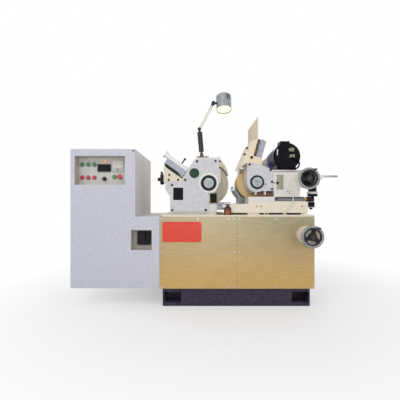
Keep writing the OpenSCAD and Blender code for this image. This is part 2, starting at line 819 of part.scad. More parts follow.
module wheel_guard() {
  // The casing swells from the nip round to the flat top, then follows the head's slope
  swell = [for (a = [guard_a0 : guard_step : guard_a1])
    (grind_r + guard_nose + (guard_top_r - grind_r - guard_nose) * (a - guard_a0) / (guard_a1 - guard_a0)) * [cos(a), sin(a)]];
  top = guard_top_r * sin(guard_a1);
  run = (notch_x - crown_x + casting_rise) / (head_top + casting_rise - ledge_z - notch_h);
  left = -grind_r - wheel_room + gap;
  color("#ece6d6") difference() {
    at_grind() run_y(front_ped_end, rear_ped_y0) difference() {
      polygon(concat([[0, 0]], swell, [[guard_t - notch_x + run * (top - ledge_z - notch_h), top],
        [left, ledge_z + notch_h + (left + notch_x - guard_t) / run], [left, 0]]));
      circle(grind_r + guard_gap);
    }
    // Slot for the dresser's diamond
    at_dresser() slab(dress_slide_u1 - cut, dress_slide_u1 + guard_top_r, front_ped_end + guard_t, rear_ped_y0 - guard_t,
      nib_n - nib_slot, nib_n + nib_slot);
  }
}

// Frame of the grinding dresser: X runs down its slope, Z stands square to it
module at_dresser() { translate([dress_x, 0, dress_z]) rotate([0, dress_tilt, 0]) children(); }
module dresser_base() {
  lz = grind_z + ledge_z;
  x1 = grind_x - notch_x - gap;
  z0 = dress_z + rail_n0 / cos(dress_tilt);
  color("#e6e0c8") difference() {
    run_y(dress_y0, dress_y1) polygon([[dress_x, lz], [x1, lz], [x1, z0 - (x1 - dress_x) * tan(dress_tilt)], [dress_x, z0]]);
    rod_x(dress_hand_y, hand_axis_z, dress_shaft_r + fit, dress_x - cut, dress_x + dress_shaft_l + cut);
  }
  color("#141416") at_dresser() slab(rail_u0, rail_u1, dress_y0, dress_y1, rail_n0 + rail_inset, rail_n1);
}
module dresser_slide() {
  color("#a9adb6") at_dresser() {
    difference() {
      slab(rail_u0 - lip_w, dress_slide_u1, slide_y0, slide_y1, rail_n0 + lip_drop, slide_n1);
      slab(rail_u0 - gap, rail_u1 + gap, slide_y0 - cut, slide_y1 + cut, rail_n0, rail_n1 + gap);
      slab(rail_u1 + gap, dress_slide_u1 - end_t, slide_y0 - cut, slide_y1 + cut, rail_n0 + lip_drop - cut, rail_n0 + lip_drop + lip_cut);
    }
  }
  // Upper slab and the end plate that holds the diamond
  color("#dedcd8") at_dresser() difference() {
    slab(slab_u0, dress_slide_u1, slide_y0, slide_y1, slide_n1, slab_n1);
    rod_y(lever_u, slab_n1, lever_hub_r + gap, lever_y_mid - lever_w - gap, lever_y_mid + lever_w + gap);
    rod_y(lever_u, slab_n1 - lever_pin_r * 2, lever_pin_r + fit, slide_y0 + ear_in, lever_y_mid + lever_w * 3);
  }
  color("#5c6068") at_dresser() slab(slab_u0 - lip_w, slab_u0, slide_y0, slide_y0 + ear_in * 2, slide_n1 - lip_w, slab_n1 + lip_w);
  // Diamond holder, reaching almost to the wheel
  off = wheel_n - nib_n;
  reach = wheel_u - sqrt(grind_r * grind_r - off * off) - gap;
  color("#c9ccd1") at_dresser() {
    rod_x(nib_y, nib_n, nib_r, dress_slide_u1, reach - nib_r);
    translate([reach - nib_r, nib_y, nib_n]) rotate([0, 90, 0]) cylinder(r1 = nib_r, r2 = nib_r / 6, h = nib_r);
  }
}
module dresser_lever() {
  color("#151517") at_dresser() {
    rod_y(lever_u, slab_n1 - lever_pin_r * 2, lever_pin_r, slide_y0 + ear_in + gap, lever_y_mid + lever_w * 3 - gap);
    rod_z(lever_u, lever_y_mid, lever_pin_r, slab_n1 - lever_pin_r * 2, slab_n1 + lever_l);
    translate([lever_u, lever_y_mid, slab_n1 + lever_l]) sphere(lever_ball_r);
  }
}
module dresser_handwheel() {
  color("#131315") {
    rod_x(dress_hand_y, hand_axis_z, dress_shaft_r, dress_x - dress_hand_gap, dress_x + dress_shaft_l);
    rod_x(dress_hand_y, hand_axis_z, dress_hand_r, dress_x - dress_hand_gap - dress_hand_w, dress_x - dress_hand_gap);
    rod_x(dress_hand_y, hand_axis_z, dress_hand_r / 3, dress_x - dress_hand_gap - dress_hand_w * 1.9, dress_x - dress_hand_gap - dress_hand_w);
    rod_z(dress_x - dress_hand_gap - dress_hand_w / 2, dress_hand_y, dress_shaft_r / 2, hand_axis_z, hand_axis_z + dress_hand_r * 1.2);
    translate([dress_x - dress_hand_gap - dress_hand_w * 0.7, dress_hand_y, hand_axis_z + dress_hand_r * 1.25]) sphere(lever_ball_r);
  }
}

// Drive of the grinding wheel: motor in the bed, belts through the deck
module main_motor() {
  color("#4a5a6a") difference() {
    union() {
      rod_y(grind_x, motor_z, main_motor_r, main_motor_y0, main_motor_y1);
      for (i = [0 : rib_count - 1]) at_angle_rib(i);
      slab(grind_x - main_motor_r, grind_x + main_motor_r, main_motor_y0 + rib_t * 4, main_motor_y1 - rib_t * 4,
        motor_z - main_motor_r - motor_foot_h, motor_z - main_motor_r * 0.8);
    }
    rod_y(grind_x, motor_z, motor_shaft_r + fit, main_motor_y1 - motor_bore_l, main_motor_y1 + cut);
  }
}
module at_angle_rib(i) {
  translate([grind_x, 0, motor_z]) rotate([0, i * 180 / (rib_count - 1) - 180, 0])
    slab(0, main_motor_r + rib_t, main_motor_y0 + rib_t * 4, main_motor_y1 - rib_t * 4, -rib_t / 4, rib_t / 4);
}
module grooved_pulley(x, z, y0) {
  difference() {
    rod_y(x, z, pulley_r + belt_rim, y0, y0 + pulley_w);
    for (i = [0 : belt_count - 1]) translate([0, y0 + pulley_w * (i + 0.5) / belt_count, 0]) difference() {
      rod_y(x, z, pulley_r + belt_rim + cut, -belt_w / 2 - gap, belt_w / 2 + gap);
      rod_y(x, z, pulley_r, -belt_w, belt_w);
    }
  }
}
module spindle_pulley() {
  color("#55585e") difference() {
    grooved_pulley(grind_x, grind_z, pulley_y0);
    rod_y(grind_x, grind_z, grind_tail_r + fit, pulley_y0 - cut, pulley_y0 + pulley_w + cut);
  }
}
module motor_pulley() {
  color("#55585e") {
    grooved_pulley(grind_x, motor_z, pulley_y0);
    rod_y(grind_x, motor_z, motor_shaft_r, main_motor_y1 - motor_bore_l + gap, pulley_y0);
  }
}
module belt_loop(r) {
  translate([0, motor_z]) circle(r);
  translate([0, grind_z]) circle(r);
  translate([-r, motor_z]) square([2 * r, grind_z - motor_z]);
}
module drive_belts() {
  color("#1c1c1e") for (i = [0 : belt_count - 1])
    translate([grind_x, pulley_y0 + pulley_w * (i + 0.5) / belt_count, 0]) run_y(-belt_w / 2, belt_w / 2)
      difference() {
        belt_loop(pulley_r + belt_t);
        belt_loop(pulley_r + gap);
      }
}
module belt_guard() {
  r = pulley_r + belt_t + guard_t * 2;
  color("#e4e1d8") difference() {
    translate([grind_x, 0, 0]) run_y(rear_ped_y1 + gap, pulley_y0 + pulley_w + guard_t * 2) guard_case(r);
    translate([grind_x, 0, 0]) run_y(rear_ped_y1 + gap + sheet_t, pulley_y0 + pulley_w + guard_t * 2 - sheet_t)
      guard_case(r - sheet_t);
    rod_y(grind_x, grind_z, grind_tail_r + guard_t, rear_ped_y1 - cut, rear_ped_y1 + sheet_t + cut);
    slab(grind_x - r + sheet_t, grind_x + r - sheet_t, rear_ped_y1 + gap + sheet_t,
      pulley_y0 + pulley_w + guard_t * 2 - sheet_t, bed_top - cut, bed_top + sheet_t + cut);
  }
}
module guard_case(r) {
  translate([0, grind_z]) circle(r);
  translate([-r, bed_top + (r < pulley_r + belt_t + guard_t * 2 ? sheet_t : 0)])
    square([2 * r, grind_z - bed_top - (r < pulley_r + belt_t + guard_t * 2 ? sheet_t : 0)]);
}
module grinding_spindle() {
  color("#9aa0a6") {
    rod_y(grind_x, grind_z, grind_nose_r, plate_front - nose_out, plate_back);
    rod_y(grind_x, grind_z, grind_shaft_r, plate_back, rear_ped_y1);
    rod_y(grind_x, grind_z, grind_tail_r, rear_ped_y1, pulley_y0 + pulley_w);
    // Wheel mount: sleeve in the wheel's bore, with a flange on each side
    rod_y(grind_x, grind_z, grind_bore_d / 2 - gap / 2, wheel_y0, wheel_y1);
    rod_y(grind_x, grind_z, grind_bore_d / 2 + flange_lap, wheel_y0 - flange_t, wheel_y0);
    rod_y(grind_x, grind_z, grind_bore_d / 2 + flange_lap, wheel_y1, wheel_y1 + flange_t);
  }
}
module grinding_wheel() {
  color("#d9d2bd") difference() {
    rod_y(grind_x, grind_z, grind_r, wheel_y0, wheel_y1);
    rod_y(grind_x, grind_z, grind_bore_d / 2, wheel_y0 - cut, wheel_y1 + cut);
  }
}

module coolant_block() {
  x0 = grind_x + base_right;
  color("#77797c") slab(x0, x0 + valve_w, plate_front, plate_front + valve_w * 2, valve_z0, valve_z0 + valve_w);
  color("#b9bcc0") slab(x0, x0 + shelf_w, plate_front, plate_front + valve_w * 2, valve_z0 + valve_w, valve_z0 + valve_w + sheet_t * 2);
  color("#c8cccf") rod_y(x0 + valve_w, valve_z0 + valve_w * 0.55, valve_w / 4, plate_front - valve_w / 3, plate_front + valve_w * 2);
}

// Lamp: a link runs from its lower pivot along its own Z
module at_link(p, q) {
  translate([p[0], lamp_y, p[1]]) rotate([0, atan2(q[0] - p[0], q[1] - p[1]), 0]) children();
}
module ears(r) {
  for (s = [-1, 1]) {
    y0 = s < 0 ? -ear_gap / 2 - ear_t : ear_gap / 2;
    rod_y(0, 0, r, y0, y0 + ear_t);
  }
  rod_y(0, 0, lamp_pin_r, -ear_gap / 2 - ear_t, ear_gap / 2 + ear_t);
}
module eye(r) {
  difference() {
    rod_y(0, 0, r, -ear_gap / 2 + gap, ear_gap / 2 - gap);
    rod_y(0, 0, lamp_pin_r + fit, -ear_gap, ear_gap);
  }
}
module lamp_base() {
  color("#2b1d14") {
    slab(lamp_p0[0] - lamp_foot, lamp_p0[0] + lamp_foot * 1.4, lamp_y - lamp_foot, lamp_y + lamp_foot,
      lamp_floor, lamp_floor + lamp_foot_h);
    translate([lamp_p0[0], lamp_y, lamp_p0[1]]) {
      ears(ear_r);
      for (s = [-1, 1]) {
        y0 = s < 0 ? -ear_gap / 2 - ear_t : ear_gap / 2;
        slab(-ear_r, ear_r, y0, y0 + ear_t, lamp_floor + lamp_foot_h - lamp_p0[1], 0);
      }
    }
  }
}
module lamp_lower_arm() {
  color("#1d1a1a") {
    at_link(lamp_p0, lamp_p1) {
      eye(ear_r);
      slab(-ear_r / 2, ear_r / 2, -ear_gap / 2 + gap, ear_gap / 2 - gap, ear_r * 0.9, ear_r * 1.6);
      difference() {
        slab(-arm_w / 2, arm_w / 2, -arm_w / 2, arm_w / 2, ear_r * 1.6, lamp_low_l - ear_r * 1.6);
        slab(-arm_w / 2 + sheet_t, arm_w / 2 - sheet_t, -arm_w / 2 + sheet_t, arm_w, ear_r * 1.6 + sheet_t, lamp_low_l - ear_r * 1.6 - sheet_t);
      }
    }
    at_link(lamp_p1, lamp_p0) {
      ears(ear_r * 0.9);
      for (s = [-1, 1]) {
        y0 = s < 0 ? -ear_gap / 2 - ear_t : ear_gap / 2;
        slab(-ear_r / 2, ear_r / 2, y0, y0 + ear_t, 0, ear_r * 1.7);
      }
    }
  }
}
module lamp_upper_arm() {
  color("#c9c2b4") {
    at_link(lamp_p1, lamp_p2) {
      eye(ear_r * 0.9);
      slab(-rod_space, rod_space, -ear_gap / 2 + gap, ear_gap / 2 - gap, ear_r * 0.7, ear_r * 1.4);
      for (s = [-1, 1]) rod_z(s * rod_space * 0.7, 0, lamp_rod_r, ear_r * 1.2, lamp_up_l - ear_r * 1.2);
    }
    at_link(lamp_p2, lamp_p1) {
      ears(ear_r);
      slab(-rod_space, rod_space, -ear_gap / 2 - ear_t, ear_gap / 2 + ear_t, ear_r + gap, ear_r * 1.5);
      for (s = [-1, 1]) {
        y0 = s < 0 ? -ear_gap / 2 - ear_t : ear_gap / 2;
        slab(-rod_space, rod_space, y0, y0 + ear_t, 0, ear_r + gap * 2);
      }
    }
  }
}
module lamp_head() {
  translate([lamp_p2[0], lamp_y, lamp_p2[1]]) {
    color("#1d1a1a") {
      eye(ear_r);
      slab(ear_r * 0.8, lamp_head_x - lamp_r + sheet_t, -ear_gap / 2 + gap, ear_gap / 2 - gap, -ear_r / 2, ear_r / 2);
    }
    color("#9aa3ad") translate([lamp_head_x, 0, 0]) rotate([-lamp_lean, 0, 0]) {
      difference() {
        rod_z(0, 0, lamp_r, -lamp_l / 2, lamp_l / 2);
        rod_z(0, 0, lamp_r - sheet_t, -lamp_l / 2 - cut, lamp_l / 2 - sheet_t * 2);
      }
      rod_z(0, 0, lamp_r - sheet_t, -lamp_l / 2 + sheet_t * 3, -lamp_l / 2 + sheet_t * 5);
    }
  }
}

// Slides of the regulating side
module lower_slide() {
  z0 = lower_z0 + gap;
  color("#ece8dc") difference() {
    union() {
      slab(lower_x0, lower_x1, slide_front, slide_back, z0, lower_z1);
      slab(step_x0, lower_x0, slide_front, slide_back, z0, lower_z1 - step_drop);
      run_x(tower_x0 + ridge_in, lower_x1) dovetail(lower_z1, 0);
      // Nut of the upper feed screw on its post, and nut of the lower one below the deck
      slab(post_x, post_x + nut_l, -nut_half, nut_half, lower_z1, upper_hand_z + nut_half);
      slab(low_nut_x, low_nut_x + nut_l, -nut_half, nut_half, lower_hand_z - nut_half, z0);
    }
    run_x(step_x0 - cut, lower_x1 + cut) dovetail(lower_z0, gap);
    rod_x(0, upper_hand_z, screw_r + fit, post_x - cut, post_x + nut_l + cut);
    rod_x(0, lower_hand_z, screw_r + fit, low_nut_x - cut, low_nut_x + nut_l + cut);
  }
  // The lower nut's stem where it crosses the dovetail groove
  color("#ece8dc") slab(low_nut_x, low_nut_x + nut_l, -nut_half, nut_half, z0 - gap * 4, lower_z0 + dove_h + gap * 2);
}
module lower_feed_screw() {
  color("#8d949b") {
    rod_x(0, lower_hand_z, screw_r, low_nut_x - screw_back, lower_hand_x - mitre_near);
    mitre_x(lower_hand_x, lower_hand_z);
  }
}
module upper_feed_screw() {
  color("#8d949b") {
    rod_x(0, upper_hand_z, screw_r, post_x - screw_back, upper_hand_x - mitre_near);
    mitre_x(upper_hand_x, upper_hand_z);
  }
}
// Mitre gears: cones whose faces pass the 45 degree line with a small gap
module mitre_x(x, z) {
  translate([x - mitre_far, 0, z]) rotate([0, 90, 0])
    cylinder(r1 = mitre_far - gap * 2, r2 = mitre_near - gap * 2, h = mitre_far - mitre_near);
}
module mitre_y(x, z) {
  translate([x, -mitre_far, z]) rotate([-90, 0, 0])
    cylinder(r1 = mitre_far - gap * 2, r2 = mitre_near - gap * 2, h = mitre_far - mitre_near);
}
module handwheel(x, z, y) {
  color("#8c8f92") translate([x, y, z]) rotate([90, 0, 0])
    rotate_extrude() translate([wheel_rim_r - rim_bar_r, 0]) circle(rim_bar_r);
  color("#17181a") {
    rod_y(x, z, hub_r, y - rim_bar_r, y + rim_bar_r * 2);
    difference() {
      rod_y(x, z, wheel_rim_r - rim_bar_r * 1.6, y - web_t / 2, y + web_t / 2);
      for (a = [0, 120, 240]) translate([x, 0, z]) rotate([0, a, 0]) translate([0, 0, wheel_rim_r * 0.53])
        rod_y(0, 0, wheel_rim_r * 0.2, y - web_t, y + web_t);
    }
    // Shaft and its gear
    rod_y(x, z, hand_shaft_r, y + rim_bar_r * 2, -mitre_far);
    mitre_y(x, z);
  }
  // Crank grip
  color("#3b3d40") translate([x, 0, z]) rotate([0, 28, 0]) rod_y(0, wheel_rim_r - rim_bar_r, rim_bar_r * 0.8, y - grip_l, y);
}
module upper_handwheel() { handwheel(upper_hand_x, upper_hand_z, upper_hand_y); }
module lower_handwheel() { handwheel(lower_hand_x, lower_hand_z, lower_hand_y); }
module drum(x, z, y0, y1) {
  difference() {
    rod_y(x, z, drum_r, y0, y1);
    rod_y(x, z, drum_r * 0.86, y0 - cut, y0 + rim_bar_r);
    rod_y(x, z, hand_shaft_r + fit, y0 - cut, y1 + cut);
  }
}
module lower_feed_drum() {
  color("#ece6d8") drum(lower_hand_x, lower_hand_z, lower_hand_y + rim_bar_r * 2 + gap, front_y);
}
module upper_slide() {
  color("#ece9e2") difference() {
    union() {
      slab(sole_x0, sole_x1, slide_front, slide_back, lower_z1 + gap, sole_z1);
      slab(tower_x0, tower_x1, slide_front, slide_back, sole_z1, tower_top);
    }
    run_x(tower_x0 + ridge_in - upper_out, sole_x1 + cut) dovetail(lower_z1, gap);
    // Room for the feed nut's post and for the wheel
    slab(post_x - upper_out - post_room, post_x + nut_l + upper_in + post_room, -nut_half - post_room, nut_half + post_room,
      lower_z1, upper_hand_z + nut_half + post_room);
    rod_x(0, upper_hand_z, screw_r + fit, post_x - screw_back - gap, tower_x1 + cut);
    rod_y(reg_x, reg_z, reg_r + wheel_room, front_ped_end - wheel_room, rear_ped_y0 + wheel_room);
    // Bore for the head's pivot, and the long groove across the front
    rod_x(wheel_mid, reg_z, pivot_r + fit, tower_x0 - cut, tower_x0 + pivot_l + gap);
    slab(tower_x0 + groove_in, sole_x1 + cut, slide_front - cut, slide_front + groove_deep, lower_z1 + groove_in, sole_z1 - gap * 4);
    // Window of the tilt scale
    slab(tower_x0 + scale_in, tower_x0 + scale_in + scale_w, slide_front - cut, slide_front + groove_deep / 4,
      tower_top - scale_in - scale_h, tower_top - scale_in);
  }
}
module upper_feed_housing() {
  color("#e8e4d8") difference() {
    slab(tower_x1, tower_x1 + house_w, slide_front, mitre_far + house_wall, upper_hand_z - house_half, upper_hand_z + house_half);
    rod_y(upper_hand_x, upper_hand_z, hand_shaft_r + fit, slide_front - cut, 0);
    rod_y(upper_hand_x, upper_hand_z, mitre_far + gap, -mitre_far - gap * 4, mitre_far);
    rod_x(0, upper_hand_z, mitre_far + gap, tower_x1 - cut, upper_hand_x);
  }
  color("#ece6d8") drum(upper_hand_x, upper_hand_z, upper_hand_y + rim_bar_r * 2 + gap, slide_front);
  // Bracket and pivot of the infeed lever
  color("#77797c") {
    slab(tower_x1 + house_w, lever_x + lever_hub, lever_y1, lever_y1 + lever_hub, lever_z - lever_hub, lever_z + lever_hub);
    rod_y(lever_x, lever_z, lever_pin, lever_y0, lever_y1);
  }
  // Feed stop at the end of the sole
  color("#1c1c1f") rod_x(slide_front + stop_in, (lower_z1 + sole_z1) / 2, stop_r * 0.6, sole_x1 + stop_r / 2, sole_x1 + stop_l);
  color("#b08a4a") rod_x(slide_front + stop_in, (lower_z1 + sole_z1) / 2, stop_r * 0.4, sole_x1, sole_x1 + stop_r / 2);
}
module infeed_lever() {
  color("#c9c9c6") difference() {
    union() {
      rod_y(lever_x, lever_z, lever_hub, lever_y0, lever_y1 - gap);
      translate([lever_x, 0, lever_z]) rotate([0, -lever_rise, 0])
        slab(0, lever_bar_l, lever_y0 + gap * 4, lever_y1 - gap * 5, -lever_hub * 0.55, lever_hub * 0.55);
    }
    rod_y(lever_x, lever_z, lever_pin + fit, lever_y0 - cut, lever_y1 + cut);
  }
  color("#8f9296") rod_x((lever_y0 + lever_y1) / 2, lever_z + lever_bar_l * sin(lever_rise), lever_pin,
    lever_x + lever_bar_l * cos(lever_rise) - lever_pin, lever_x + lever_bar_l * cos(lever_rise) + lever_rod_l);
}

// Work rest: a bracket that follows the regulating wheel, with the blade at its tip
module work_rest() {
  color("#8b8d90") difference() {
    union() {
      translate([reg_x, 0, reg_z]) run_y(rest_y0, rest_y1) intersection() {
        difference() {
          circle(reg_r + rest_gap + rest_t);
          circle(reg_r + rest_gap);
        }
        polygon([[0, 0], rest_far * [cos(rest_a0), sin(rest_a0)], rest_far * [-1, -1], rest_far * [cos(rest_a1), sin(rest_a1)]]);
      }
      slab(rest_foot_x, lower_x0 - upper_in - gap * 3, rest_y0, rest_y1, lower_z1 - step_drop, rest_foot_top);
    }
    rod_y(reg_x, reg_z, reg_r + rest_gap, rest_y0 - cut, rest_y1 + cut);
    blade_shape(fit);
  }
}
module blade_shape(g) {
  run_y(rest_y0 - (g > 0 ? cut : 0), rest_y1 + (g > 0 ? cut : 0)) polygon([[blade_x - blade_t / 2 - g, blade_z0 - g],
    [blade_x + blade_t / 2 + g, blade_z0 - g], [blade_x + blade_t / 2 + g, blade_z1 - blade_t * tan(blade_slope)],
    [blade_x - blade_t / 2 - g, blade_z1]]);
}
module rest_blade() { color("#b4b8bd") blade_shape(0); }

// Front outline of the regulating head about its spindle
module reg_outline(rise) {
  polygon([[-reg_left, 0], [-reg_left, reg_crown + rise], [reg_left / 2, reg_crown * 0.87 + rise],
    [reg_right * 0.77, reg_crown * 0.68 + rise], [reg_right, reg_crown * 0.56 + rise], [reg_right, -reg_low], [0, -reg_low]]);
  circle(reg_left);
}
module at_reg() { translate([reg_x, 0, reg_z]) children(); }
module regulating_head() {
  bore = reg_shaft_r + 2 * fit + sleeve_t;
  right = tower_x0 - gap;
  color("#e9e7e2") difference() {
    union() {
      at_reg() {
        run_y(plate_back, front_ped_end) reg_outline(0);
        run_y(rear_ped_y0, rear_ped_y1) reg_outline(0);
      }
      slab(reg_x + reg_r * 0.3, right, front_ped_end - cut, rear_ped_y0 + cut, reg_z - reg_low, reg_z + reg_crown * 0.56);
      // Shelf of the gear motor
      slab(reg_x + reg_right * 0.6, shelf_x1, shelf_y0, shelf_y1, tower_top + shelf_rise, tower_top + shelf_rise + shelf_t);
      slab(reg_x + reg_right * 0.6, right, shelf_y0, shelf_y1, reg_z, tower_top + shelf_rise + cut);
      // Posts under the head
      for (x = post_shares) slab(reg_x + x * reg_right, reg_x + x * reg_right + plate_t, plate_back, plate_back + plate_t * 3,
        sole_z1 + tilt_room, reg_z - reg_low);
      rod_x(wheel_mid, reg_z, pivot_r, right - cut, tower_x0 + pivot_l);
    }
    rod_y(reg_x, reg_z, reg_r + wheel_room, front_ped_end, rear_ped_y0);
    rod_y(reg_x, reg_z, bore, plate_back - cut, rear_ped_y1 + cut);
  }
}
module regulating_front_plate() {
  color("#d9d8dc") difference() {
    at_reg() run_y(plate_front, plate_back) reg_outline(0);
    rod_y(reg_x, reg_z, reg_seal_r + 2 * fit, plate_front - cut, plate_back + cut);
  }
  color("#161618") for (p = reg_plug_shares) rod_y(reg_x + p[0] * reg_right, reg_z + p[1] * reg_crown, plug_r,
    plate_front - screw_head_h, plate_front);
}
module regulating_bearings() {
  color("#b08a4a") sleeve(reg_x, reg_z, reg_shaft_r, plate_back + gap, front_ped_end - gap);
  color("#b08a4a") sleeve(reg_x, reg_z, reg_shaft_r, rear_ped_y0 + gap, rear_ped_y1 - gap);
  color("#141416") seal_ring(reg_x, reg_z, grind_nose_r, reg_seal_r + fit);
}
// Frame of the regulating dresser: Z runs up its slope, X stands square to it
module at_reg_dresser() {
  translate([reg_x - reg_rail_dx, 0, reg_z + reg_rail_dz]) rotate([0, 90 - reg_dress_tilt, 0]) children();
}
module regulating_guard() {
  c = reg_rail_l * cos(reg_dress_tilt);
  s = reg_rail_l * sin(reg_dress_tilt);
  color("#ebe0c6") at_reg() run_y(plate_front + gap * 4, front_ped_end - gap) guard_slab(c, s);
  color("#ebe0c6") at_reg() run_y(front_ped_end - gap, reg_slide_y1 + reg_stroke) difference() {
    guard_slab(c, s);
    circle(reg_r + guard_gap);
    translate([-reg_left, 0]) square([reg_left * 2, reg_crown * 1.04]);
  }
  color("#17130f") at_reg_dresser() slab(gap, reg_rail_t, plate_front + gap * 4, reg_slide_y1 + reg_stroke, rail_inset, reg_rail_l);
  w = reg_rail_t + reg_slide_t;
  color("#e9e2d2") at_reg() run_y(plate_front + gap * 4, plate_front + reg_block_l)
    polygon([[-reg_rail_dx, reg_crown * 0.955], [reg_left / 2, reg_crown * 0.875], [w * sin(reg_dress_tilt) - reg_rail_dx,
      reg_rail_dz - w * cos(reg_dress_tilt) - gap], [-reg_rail_dx, reg_rail_dz - gap]]);
}
// Slab behind the rail, sitting on the head
module guard_slab(c, s) {
  polygon([[-reg_rail_dx - reg_slab_t + c, reg_rail_dz + s - reg_slab_t / 3], [-reg_rail_dx + c, reg_rail_dz + s],
    [-reg_rail_dx, reg_rail_dz], [-reg_rail_dx, reg_crown * 0.955], [-reg_left, reg_crown],
    [-reg_left - reg_slab_t, reg_crown * 0.76]]);
}
module splash_sheet() {
  c = reg_rail_l * cos(reg_dress_tilt);
  s = reg_rail_l * sin(reg_dress_tilt);
  color("#f3e3cc") slab(reg_x - reg_rail_dx + c - sheet_t - gap, reg_x - reg_rail_dx + c - gap, plate_front + gap * 4,
    plate_front + splash_l, reg_z + reg_rail_dz + s, reg_z + reg_rail_dz + s + splash_h);
}
module regulating_dresser_slide() {
  color("#a9adb6") at_reg_dresser() slab(reg_rail_t + gap, reg_rail_t + reg_slide_t, reg_slide_y0, reg_slide_y1, rail_inset, reg_rail_l + rail_inset);
  color("#222226") at_reg_dresser() slab(reg_rail_t + reg_slide_t * 0.3, reg_rail_t + reg_slide_t * 0.6, reg_slide_y0,
    reg_slide_y0 + ear_in, reg_rail_l + rail_inset, reg_rail_l + rail_inset * 3);
  // Diamond holder down to the wheel
  nib_x = reg_rail_t + reg_slide_t / 2;
  tilt = 90 - reg_dress_tilt;
  wx = reg_rail_dx * cos(tilt) + reg_rail_dz * sin(tilt);
  wz = reg_rail_dx * sin(tilt) - reg_rail_dz * cos(tilt);
  off = nib_x - wx;
  tip = wz + sqrt(reg_r * reg_r - off * off) + gap;
  color("#c9ccd1") at_reg_dresser() {
    rod_z(nib_x, nib_y, nib_r, tip + nib_r, rail_inset);
    translate([nib_x, nib_y, tip]) cylinder(r1 = nib_r / 6, r2 = nib_r, h = nib_r);
  }
}
module gear_motor() {
  mx = shelf_x1 - motor_r - shelf_t;
  mz = tower_top + shelf_rise + shelf_t + motor_r;
  y1 = shelf_y0 - motor_over + motor_l;
  // Fan cover, ribbed body and terminal box
  color("#121218") {
    rod_y(mx, mz, motor_r - rib_t, shelf_y0 - motor_over, y1);
    rod_y(mx, mz, motor_r - gap, shelf_y0 - motor_over + rib_t, shelf_y0 - motor_over + motor_l * 0.3);
    for (i = [0 : rib_count * 2 - 1]) translate([mx, 0, mz]) rotate([0, i * 180 / rib_count, 0])
      slab(0, motor_r - rib_t / 3, shelf_y0 - motor_over + motor_l * 0.3 + gap, y1 - rib_t, -rib_t / 4, rib_t / 4);
    slab(mx - motor_r * 0.35, mx + motor_r * 0.35, shelf_y0 - motor_over + motor_l * 0.35, y1 - rib_t * 2, mz + motor_r * 0.8, mz + motor_r * 1.2);
    slab(mx - motor_r * 0.7, mx + motor_r * 0.7, shelf_y0 + rib_t, y1 - rib_t * 2, tower_top + shelf_rise + shelf_t, mz - motor_r * 0.6);
  }
  // Gearbox and the tube of its output shaft
  color("#1f2f9c") {
    rod_y(mx, mz, motor_r * 0.93, y1, y1 + gearbox_l * 0.25);
    rod_y(mx - gearbox_shift, mz, motor_r * 0.86, y1 + gearbox_l * 0.25, y1 + gearbox_l);
    slab(mx - motor_r * 0.6, mx + motor_r * 0.5, y1 + rib_t, y1 + gearbox_l - rib_t, tower_top + shelf_rise + shelf_t, mz - motor_r * 0.6);
    rod_y(mx - gearbox_shift, mz, motor_r * 0.25, y1 + gearbox_l, rear_ped_y1);
  }
}
module chain_case() {
  mx = shelf_x1 - motor_r - shelf_t - gearbox_shift;
  mz = tower_top + shelf_rise + shelf_t + motor_r;
  len = norm([mx - reg_x, mz - reg_z]);
  color("#e4e1d8") difference() {
    translate([reg_x, 0, reg_z]) rotate([0, -atan2(mz - reg_z, mx - reg_x), 0]) run_y(rear_ped_y1 + gap, rear_ped_y1 + case_t) {
      circle(case_r);
      translate([len, 0]) circle(case_r);
      translate([0, -case_r]) square([len, 2 * case_r]);
    }
    rod_y(reg_x, reg_z, reg_tail_r + gap * 2, rear_ped_y1 - cut, rear_ped_y1 + case_t - sheet_t * 2);
  }
}
module regulating_spindle() {
  color("#9aa0a6") {
    rod_y(reg_x, reg_z, grind_nose_r, plate_front - nose_out, plate_back - gap);
    rod_y(reg_x, reg_z, reg_shaft_r, plate_back - gap, rear_ped_y1);
    rod_y(reg_x, reg_z, reg_tail_r, rear_ped_y1, rear_ped_y1 + case_t - sheet_t * 2 - gap);
    rod_y(reg_x, reg_z, reg_bore_r - gap / 2, wheel_y0, wheel_y1);
    rod_y(reg_x, reg_z, reg_bore_r + flange_lap, wheel_y0 - flange_t, wheel_y0);
    rod_y(reg_x, reg_z, reg_bore_r + flange_lap, wheel_y1, wheel_y1 + flange_t);
  }
}
module regulating_wheel() {
  color("#e2b95c") difference() {
    rod_y(reg_x, reg_z, reg_r, wheel_y0, wheel_y1);
    rod_y(reg_x, reg_z, reg_bore_r, wheel_y0 - cut, wheel_y1 + cut);
  }
}

plinth();
bed_casting();
front_panels();
fasteners();
cabinet_body();
cabinet_front();
control_plate();
panel_instruments();
grinding_head();
grinding_front_plate();
grinding_bearings();
sight_glass();
wheel_guard();
dresser_base();
main_motor();
belt_guard();
drive_belts();
coolant_block();
lamp_base();
lower_feed_drum();
grinding_spindle();
grinding_wheel();
spindle_pulley();
motor_pulley();
dresser_slide();
dresser_lever();
dresser_handwheel();
lamp_lower_arm();
lamp_upper_arm();
lamp_head();
lower_slide();
work_rest();
rest_blade();
lower_handwheel();
lower_feed_screw();
upper_slide();
upper_feed_housing();
upper_handwheel();
upper_feed_screw();
regulating_head();
regulating_front_plate();
regulating_bearings();
regulating_guard();
splash_sheet();
gear_motor();
chain_case();
regulating_spindle();
regulating_wheel();
regulating_dresser_slide();
infeed_lever();
green_button_1();
green_button_2();
green_button_3();
red_button_1();
red_button_2();
red_button_3();
start_button();
stop_mushroom();
speed_knob();
isolator_handle();
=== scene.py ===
"""Looks of a centerless grinder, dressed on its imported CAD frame.

Every CAD node is copied, its facets merged and its edges broken, and given the finish of
the real piece. Small trim that the solids leave out is added on top. X runs to the
operator's right, Y away from the operator and Z up; one unit is a metre.
"""
import json
import logging
import math
from dataclasses import dataclass, field
from enum import Enum
from typing import Any, Callable, Optional, Sequence

import bmesh
import bpy
from mathutils import Matrix, Vector


